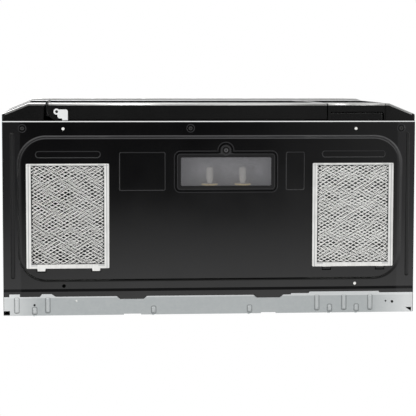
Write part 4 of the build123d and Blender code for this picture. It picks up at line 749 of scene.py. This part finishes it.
def screenEnamel(name, hole=None):
    mat = Recipe(name)
    speck = mat.noise(grain["speck"], 2.0)
    cloud = mat.noise(12.0, 2.0)
    mat.bump(speck, 0.05 * mm, 0.3)
    level = mat.between(speck * 0.5 + cloud * 0.5, 0.35, 0.65)
    mat.finish(baseColor=mat.mix(level, shade(186, 187, 184), shade(198, 198, 195)),
               roughness=mat.between(cloud, 0.3, 0.7, 0.3, 0.42))
    if hole:
        across, _, up = mat.axes()
        pitch, margin = hole["pitch"], hole["margin"]
        rise = pitch * math.sqrt(3)
        low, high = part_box("door_inner_film")
        first = across.folded(pitch) ** 2 + up.folded(rise) ** 2
        second = (across + pitch / 2).folded(pitch) ** 2 + (up + rise / 2).folded(rise) ** 2
        inside = ((across > low.x - margin) * (across < high.x + margin)
                  * (up > low.z - margin) * (up < high.z + margin))
        punched = inside * (first.smaller(second) ** 0.5 < hole["radius"])
        black = mat.mix(cloud, shade(30, 30, 31), shade(38, 38, 38))
        mat.finish(baseColor=black, alpha=1 - punched)
    return mat.material


finishes = {
    "galvanised_case": galvanised(),
    "black_base": blackEnamel("baseEnamel"),
    "black_case": blackEnamel("caseEnamel", (18, 18, 19), 0.58, 0.12),
    "stainless": brushedSteel("brushedStainless"),
    "black_plastic": mouldedPlastic("blackPlastic", (8, 8, 8), 0.24, 900.0, 0.36),
    "gloss_black": mouldedPlastic("pianoBlack", (12, 12, 13), 0.12, 300.0, 0.5, rim=True),
    "door_glass": paneGlass("tintedDoorGlass", (14, 14, 15), 0.38, rim=True),
    "clear_film": paneGlass("clearFilm", (200, 204, 204), 0.82, 0.08),
    "cavity_paint": screenEnamel("cavityEnamel"),
    "aluminium": rolledAluminium("frameAluminiumLeft", "left", hemLines),
    "aluminium_mesh": plainMetal("meshAluminium", (246, 246, 243), 0.4, 0.15, 8),
    "frosted_glass": paneGlass("frostedGlass", (150, 150, 153), 0.74, 0.3, 0.1),
    "bulb_glass": frostedBulb(),
    "ceramic": mouldedPlastic("socketCeramic", (206, 202, 192), 0.6, 300.0),
    "zinc_steel": plainMetal("zincSteel", (190, 192, 192), 0.34, 0.6),
    "copper": woundIron(windingLook),
    "circuit_board": boardLacquer(),
    "white_plastic": mouldedPlastic("whiteNylon", (228, 228, 222), 0.5),
    "dark_plastic": mouldedPlastic("darkPlastic", (44, 44, 46), 0.5),
    "mica": mouldedPlastic("micaSheet", (186, 176, 152), 0.4, 260.0),
    "tray_glass": paneGlass("trayGlass", (196, 206, 204), 0.7),
    "charcoal": carbonBed(),
    "spring_steel": plainMetal("springSteel", (150, 152, 154), 0.3, 0.9),
}
# nodes with a finish of their own
special = {
    "base_plate": basePlateEnamel(baseLook),
    "back_panel": rearZinc(backLook),
    "lamp_cover": coverEnamel(coverLook),
    "lamp_housing": reflectorZinc(reflectorLook),
    "door_inner_panel": screenEnamel("doorScreenEnamel", doorScreen),
    "case_screws": screwMetal(screwLook),
    "control_glass": keypadGlass(keypadLook),
    "face_frame": sidedSheet("frameEnamel", frameLook),
    "post_skins": brushedSteel("postSteel", cut=postLowerBand),
    "oven_cavity": sidedSheet("ovenEnamel", ovenLook),
    "component_shelf": sidedSheet("shelfZinc", shelfLook),
    "filter_frame_right": rolledAluminium("frameAluminiumRight", "right", hemLines),
    "vent_grille": brushedSteel("grilleSteel", (206, 206, 204), cut=grilleReflectionBand),
    "lamp_cover_screw": ringScrew(coverLook["screw"]),
    "magnetron": plainMetal("magnetronSteel", (176, 178, 178), 0.36, 0.6),
}
slotOf = {part["node"]: part["material_slot"] for part in frame["record"]["subparts"]}
for name, node in nodes.items():
    finish = special.get(name, finishes[slotOf[name]])
    if node.material_slots:
        for holder in node.material_slots:
            holder.material = finish
    else:
        node.data.materials.append(finish)
print("finishes ready:", len(finishes) + len(special))


# an object of a finished mesh, on its body and with its material's slot
def placed(name, mesh, finish, body="case"):
    piece = bpy.data.objects.new(name, mesh)
    scene.collection.objects.link(piece)
    mesh.materials.append(finish)
    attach(piece, body)
    return piece


# points that fall together at a pole are joined, and every face is turned outward
def fixNormals(piece):
    shape = bmesh.new()
    shape.from_mesh(piece.data)
    bmesh.ops.remove_doubles(shape, verts=shape.verts, dist=1e-6)
    bmesh.ops.recalc_face_normals(shape, faces=shape.faces)
    shape.to_mesh(piece.data)
    shape.free()


# corner numbers of the quads of several grids: columns close to a ring, rows only where asked
def ringQuads(count, rows, columns, closeRows=False):
    patch, row, column = np.meshgrid(np.arange(count), np.arange(rows if closeRows else rows - 1),
                                     np.arange(columns), indexing="ij")
    here = (patch * rows + row) * columns
    below = (patch * rows + (row + 1) % rows) * columns
    after = (column + 1) % columns
    return np.stack([here + column, here + after, below + after, below + column], -1).reshape(-1, 4)


def meshObject(name, points, quads, finish, body, smooth):
    mesh = bpy.data.meshes.new(name)
    mesh.vertices.add(len(points))
    mesh.vertices.foreach_set("co", np.ascontiguousarray(points, np.float32).ravel())
    mesh.loops.add(quads.size)
    mesh.loops.foreach_set("vertex_index", quads.astype(np.int32).ravel())
    mesh.polygons.add(len(quads))
    mesh.polygons.foreach_set("loop_start", np.arange(len(quads), dtype=np.int32) * 4)
    mesh.polygons.foreach_set("loop_total", np.full(len(quads), 4, np.int32))
    mesh.update(calc_edges=True)
    mesh.validate()
    mesh.polygons.foreach_set("use_smooth", np.full(len(mesh.polygons), smooth))
    return placed(name, mesh, finish, body)


# grids of one size, each rows by columns by three, as one closed mesh
def sweptMesh(name, grids, finish, body="case", closeRows=False, smooth=True):
    grids = np.asarray(grids, float)
    piece = meshObject(name, grids.reshape(-1, 3), ringQuads(*grids.shape[:3], closeRows), finish,
                       body, smooth)
    fixNormals(piece)
    return piece


# a turned shape: radius and height along the profile, swept round an axis through the centre
def turned(centre, profile, sides=24, direction=(0, 0, 1)):
    axis = Vector(direction).normalized()
    first = axis.orthogonal().normalized()
    second = axis.cross(first)
    angle = np.linspace(0, 2 * math.pi, sides, endpoint=False)[None, :, None]
    radius, height = np.asarray(profile, float).T[:, :, None, None]
    return (np.array(centre) + height * np.array(axis)
            + radius * (np.cos(angle) * np.array(first) + np.sin(angle) * np.array(second)))


# expanded metal: every strand is a zigzag strip, point = along X, row height in Y plus a
# triangle wave that swaps sides on each row, so that neighbours meet at the knuckles; the two
# layers differ in their cells, width by pitch, and are turned against each other, so that holes
# meet in patches; lengths are millimetres
meshLook = {"cells": ((12.3, 3.04), (10.9, 3.74)), "gauge": 0.22, "twist": 40.0, "lift": 0.6,
            "strands": {"left": (1.2, 1.4), "right": (1.5, 1.75)}, "turns": (0.024, -0.03),
            "flip": {"left": 1.0, "right": -1.0}, "uneven": 0.34, "warp": 0.6,
            "waves": (31, 57, 43, 71), "seed": {"left": 7, "right": 19}}


def expandedMesh(side, look):
    low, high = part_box("filter_mesh_" + side)
    waves = 2 * math.pi / (np.array(look["waves"]) * mm)
    warp, thick = look["warp"] * mm, look["gauge"] * mm / 2 * np.array([-1, 1, 1, -1])
    chance = np.random.default_rng(look["seed"][side])
    points, quads, base = [], [], 0
    for layer, (width, pitch) in enumerate(look["cells"]):
        pitch, halfCell = pitch * mm, width * mm / 2
        turn = look["turns"][layer] * look["flip"][side]
        rows = int((high.y - low.y) / pitch)
        stations = int((high.x - low.x) / halfCell)
        row = np.arange(rows)[:, None, None]
        station = np.arange(stations + 1)[None, :, None]
        wave = np.where((station + row) % 2 == 0, 1.0, -1.0)
        across = (station - stations / 2) * halfCell
        deep = (row + 0.5 - rows / 2) * pitch
        phase = chance.uniform(0, 2 * math.pi, 4)
        bendY = np.sin(across * waves[0] + phase[0]) + np.sin(deep * waves[1] + phase[1])
        bendX = np.sin(deep * waves[2] + phase[2]) + np.sin(across * waves[3] + phase[3])
        uneven = chance.normal(0, look["uneven"] * mm, (2, rows, stations + 1, 1))
        middle = ((low.y + high.y) / 2 + deep + wave * pitch / 2 + turn * across + warp * bendY
                  + uneven[0])
        along = (low.x + high.x) / 2 + across + turn * deep + warp * bendX + uneven[1]
        angle = np.radians(look["twist"] * wave)
        wide = look["strands"][side][layer] * mm / 2 * np.array([1, 1, -1, -1])
        edge = middle + wide * np.cos(angle) - thick * np.sin(angle)
        level = low.z + (high.z - low.z) * (layer + 0.5) / len(look["cells"])
        up = level + wide * np.sin(angle) * look["lift"] + thick * np.cos(angle)
        grid = np.stack(np.broadcast_arrays(np.clip(along, low.x, high.x),
                                            np.clip(edge, low.y, high.y),
                                            np.clip(up, low.z, high.z)), -1)
        points.append(grid.reshape(-1, 3))
        # each quad is walked the other way round, so that it faces outward
        quads.append(base + ringQuads(rows, stations + 1, 4)[:, [0, 3, 2, 1]])
        base += len(points[-1])
    piece = meshObject("expandedMesh_" + side, np.concatenate(points), np.concatenate(quads),
                       finishes["aluminium_mesh"], "filter_" + side, False)
    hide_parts("filter_mesh_" + side)


for side in ("left", "right"):
    expandedMesh(side, meshLook)
print("filter mesh ready")

# in millimetres: the profile is the closed neck and the shoulder, radius by height; the brass
# ring lies in front of the socket
bulbLook = {"inset": 6.5, "stem": 8.0, "radius": 6.4, "length": 24.0, "crown": 0.75, "sides": 28,
            "profile": ((0.0, -8.0), (4.7, -8.0), (4.7, -1.0), (4.7, 2.0), (6.4, 5.0)),
            "ringRadius": 13.6, "ringGauge": 1.5, "ringPlace": 2.4, "ringSides": 36,
            "brass": (236, 208, 150), "glow": (236, 214, 160), "ringGlow": 0.3}


# two bulbs, each a turned profile: neck, straight barrel and a crown that is a flattened quarter
# circle; round each neck a ring, a small circle turned at the ring's radius
def lampBulbs(look):
    low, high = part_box("lamp_bulbs")
    middles = (low.x + look["inset"] * mm, high.x - look["inset"] * mm)
    height = (low.z + high.z) / 2
    toward = (0, -1, 0)
    radius, rise = look["radius"], look["radius"] * look["crown"]
    bend = np.linspace(0, math.pi / 2, 8)[:-1]
    crown = np.column_stack([radius * np.cos(bend), look["length"] + rise * np.sin(bend)])
    profile = np.concatenate([look["profile"], crown, [(0.0, look["length"] + rise)]]) * mm
    grids = [turned((x, high.y - look["stem"] * mm, height), profile, look["sides"], toward)
             for x in middles]
    bulbs = sweptMesh("frostedBulbs", grids, finishes["bulb_glass"])
    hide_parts("lamp_bulbs")
    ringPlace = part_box("lamp_sockets")[0].y + look["ringPlace"] * mm
    turn = np.linspace(0, 2 * math.pi, 9)[:-1]
    ring = np.column_stack([look["ringRadius"] + look["ringGauge"] * np.cos(turn),
                            look["ringGauge"] * np.sin(turn)]) * mm
    grids = [turned((x, ringPlace, height), ring, look["ringSides"], toward) for x in middles]
    # the brass rings get a painted glow, a warm emission though the lamp is not lit
    brass = plainMetal("brassRing", look["brass"], 0.3, 0.5)
    shader = brass.node_tree.nodes["Principled BSDF"]
    shader.inputs["Emission Color"].default_value = shade(*look["glow"])
    shader.inputs["Emission Strength"].default_value = look["ringGlow"]
    sweptMesh("socketRings", grids, brass, closeRows=True)


lampBulbs(bulbLook)
print("lamp ready")

# the skins end in a rolled hem under the door and the control panel, in millimetres
hemLook = {"front": -193.3, "rear": -190.1, "bottom": 2.6, "top": 3.45, "corner": 0.6,
           "tone": (232, 232, 230), "rough": 0.34,
           "spans": (("doorHem", -295.0, 215.2, "door"), ("panelHem", 217.8, 323.5, "case"))}


# a bar along X: its section is a rounded box, cosine and sine raised to the corner's power, and
# both ends close to a line
def roundedBar(name, left, right, look, finish, body):
    low = np.array([left, look["front"], look["bottom"]]) * mm
    high = np.array([right, look["rear"], look["top"]]) * mm
    turn = np.linspace(0, 2 * math.pi, 17)[:-1]
    middle, half = (high + low) / 2, (high - low) / 2
    deep = np.sign(np.cos(turn)) * np.abs(np.cos(turn)) ** look["corner"] * half[1]
    up = np.sign(np.sin(turn)) * np.abs(np.sin(turn)) ** look["corner"] * half[2]
    ends = np.array([-1.0, -1.0, 1.0, 1.0])[:, None] * half[0]
    swell = np.array([0.0, 1.0, 1.0, 0.0])[:, None]
    grid = np.stack(np.broadcast_arrays(middle[0] + ends, middle[1] + deep * swell,
                                        middle[2] + up * swell), -1)
    sweptMesh(name, [grid], finish, body)


hemSteel = brushedSteel("hemSteel", hemLook["tone"], hemLook["rough"])
for name, left, right, body in hemLook["spans"]:
    roundedBar(name, left, right, hemLook, hemSteel, body)

# the shallow finger recess under the control panel, in millimetres
recessLook = {"low": (221.6, -175.9), "high": (319.4, -162.2), "height": 7.4, "rim": 0.8,
              "sink": 0.8, "flat": 6.0}


# its floor: rectangles inside each other, that sink by a sine while they go inward by one less
# the cosine, then stay level to the middle
def recessFloor(look):
    low, high = np.array(look["low"]), np.array(look["high"])
    bend = np.linspace(0, math.pi / 2, 6)
    inset = np.concatenate([[0.0], look["rim"] * (1 - np.cos(bend)), [look["rim"] + look["flat"]]])
    sink = np.concatenate([[0.0], look["sink"] * np.sin(bend), [look["sink"]]])
    corner = np.array([[0, 0], [1, 0], [1, 1], [0, 1]])
    inward = np.where(corner == 0, 1.0, -1.0)
    ring = low + (high - low) * corner + inward * inset[:, None, None]
    up = (look["height"] + sink)[:, None, None] + np.zeros((len(inset), 4, 1))
    grid = np.concatenate([ring, up], -1)
    middle = grid[-1:].mean(axis=1, keepdims=True) + np.zeros((1, 4, 1))
    sweptMesh("recessFloor", [np.concatenate([grid, middle]) * mm], finishes["black_plastic"],
              smooth=False)


recessFloor(recessLook)

# lower hinge bracket, in millimetres; the pin, and its end in the eye, are radius by height above
# the plate's underside
bracketLook = {"eye": (-280.8, -178.4), "eyeRadius": 5.6, "right": -260.5, "front": -182.4,
               "corner": 3.4, "foot": -270.3, "footFront": -163.0, "back": -161.7,
               "steps": ((-279.4, -173.4), (-279.4, -170.4), (-278.2, -167.4), (-276.4, -166.2),
                         (-270.9, -166.0)),
               "bottom": 0.6, "gauge": 1.5, "flange": 19.788, "softness": 0.25,
               "pinEnd": ((0.0, -0.35), (1.56, -0.35), (2.6, -0.1), (2.6, 1.0), (0.0, 1.0)),
               "pin": (-280.4, -180.4),
               "shaft": ((0.0, 1.0), (2.4, 1.0), (2.4, 19.0), (1.44, 19.8), (0.0, 19.8)),
               "zinc": (248, 249, 249), "dark": (40, 40, 42)}


# a flat plate: the outline at its two heights, with both faces closed and soft edges
def plateMesh(name, outline, height, look, finish):
    count = len(outline)
    bottom = look["bottom"]
    rings = np.concatenate([np.column_stack([outline, np.full(count, level)])
                            for level in (bottom, bottom + height)]) * mm
    turn = np.arange(count)
    after = (turn + 1) % count
    sides = np.column_stack([turn, after, after + count, turn + count])
    faces = [turn[::-1].tolist(), (turn + count).tolist()] + sides.tolist()
    mesh = bpy.data.meshes.new(name)
    mesh.from_pydata(rings.tolist(), [], faces)
    plate = placed(name, mesh, finish)
    bevel = plate.modifiers.new("softEdges", "BEVEL")
    bevel.width = look["softness"] * mm
    bevel.segments = 2
    fixNormals(plate)
    return plate


# the plate's outline: a quarter circle in front, most of a circle round the eye, steps to the foot
def hingeBracket(look):
    turn = np.radians(np.linspace(-45, -255, 16))
    circle = look["eye"] + look["eyeRadius"] * np.column_stack([np.cos(turn), np.sin(turn)])
    bend = np.radians(np.linspace(0, -90, 6))
    inner = np.array([look["right"] - look["corner"], look["front"] + look["corner"]])
    corner = inner + look["corner"] * np.column_stack([np.cos(bend), np.sin(bend)])
    outline = np.concatenate([[(look["right"], look["back"])], corner, circle, look["steps"],
                              [(look["foot"], look["back"])]])
    zinc = plainMetal("bracketZinc", look["zinc"], 0.4, 0.1, 4)
    plate = plateMesh("lowerHingePlate", outline, look["gauge"], look, zinc)
    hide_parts("lower_hinge_bracket")
    foot = [(look["foot"], look["footFront"]), (look["right"], look["footFront"]),
            (look["right"], look["back"]), (look["foot"], look["back"])]
    plateMesh("lowerHingeFoot", foot, look["flange"], look, zinc)
    dark = plainMetal("pinSteel", look["dark"], 0.35, 0.5)
    for name, centre, profile, finish in (
            ("hingePinEnd", look["eye"], look["pinEnd"], dark),
            ("lowerHingePin", look["pin"], look["shaft"], finishes["zinc_steel"])):
        grid = turned(np.array([*centre, look["bottom"]]) * mm, np.array(profile) * mm)
        sweptMesh(name, [grid], finish)


hingeBracket(bracketLook)

# white plugs in three rim holes and one flange hole, in millimetres; the stem is a share of the
# radius by height
plugLook = {"points": ((-269.3, -147.3), (269.3, -147.3), (269.3, 140.35), (-246.6, 168.15)),
            "radii": (3.0, 3.0, 2.9, 2.0), "rise": 0.9, "tone": (250, 250, 246),
            "stem": ((0.0, 2.0), (0.9, 2.0), (0.95, 1.1))}


# each plug is a turned profile: its stem, then a dome that is a quarter circle
def rimPlugs(look):
    bend = np.linspace(0, math.pi / 2, 7)[:-1]
    dome = np.column_stack([np.cos(bend), look["rise"] * (1 - np.sin(bend))])
    profile = np.concatenate([look["stem"], dome, [(0.0, 0.02)]])
    grids = [turned((x * mm, y * mm, 0), profile * (radius * mm, mm))
             for (x, y), radius in zip(look["points"], look["radii"])]
    sweptMesh("rimPlugs", grids, mouldedPlastic("plugNylon", look["tone"], 0.5))


rimPlugs(plugLook)
print("edge details ready")
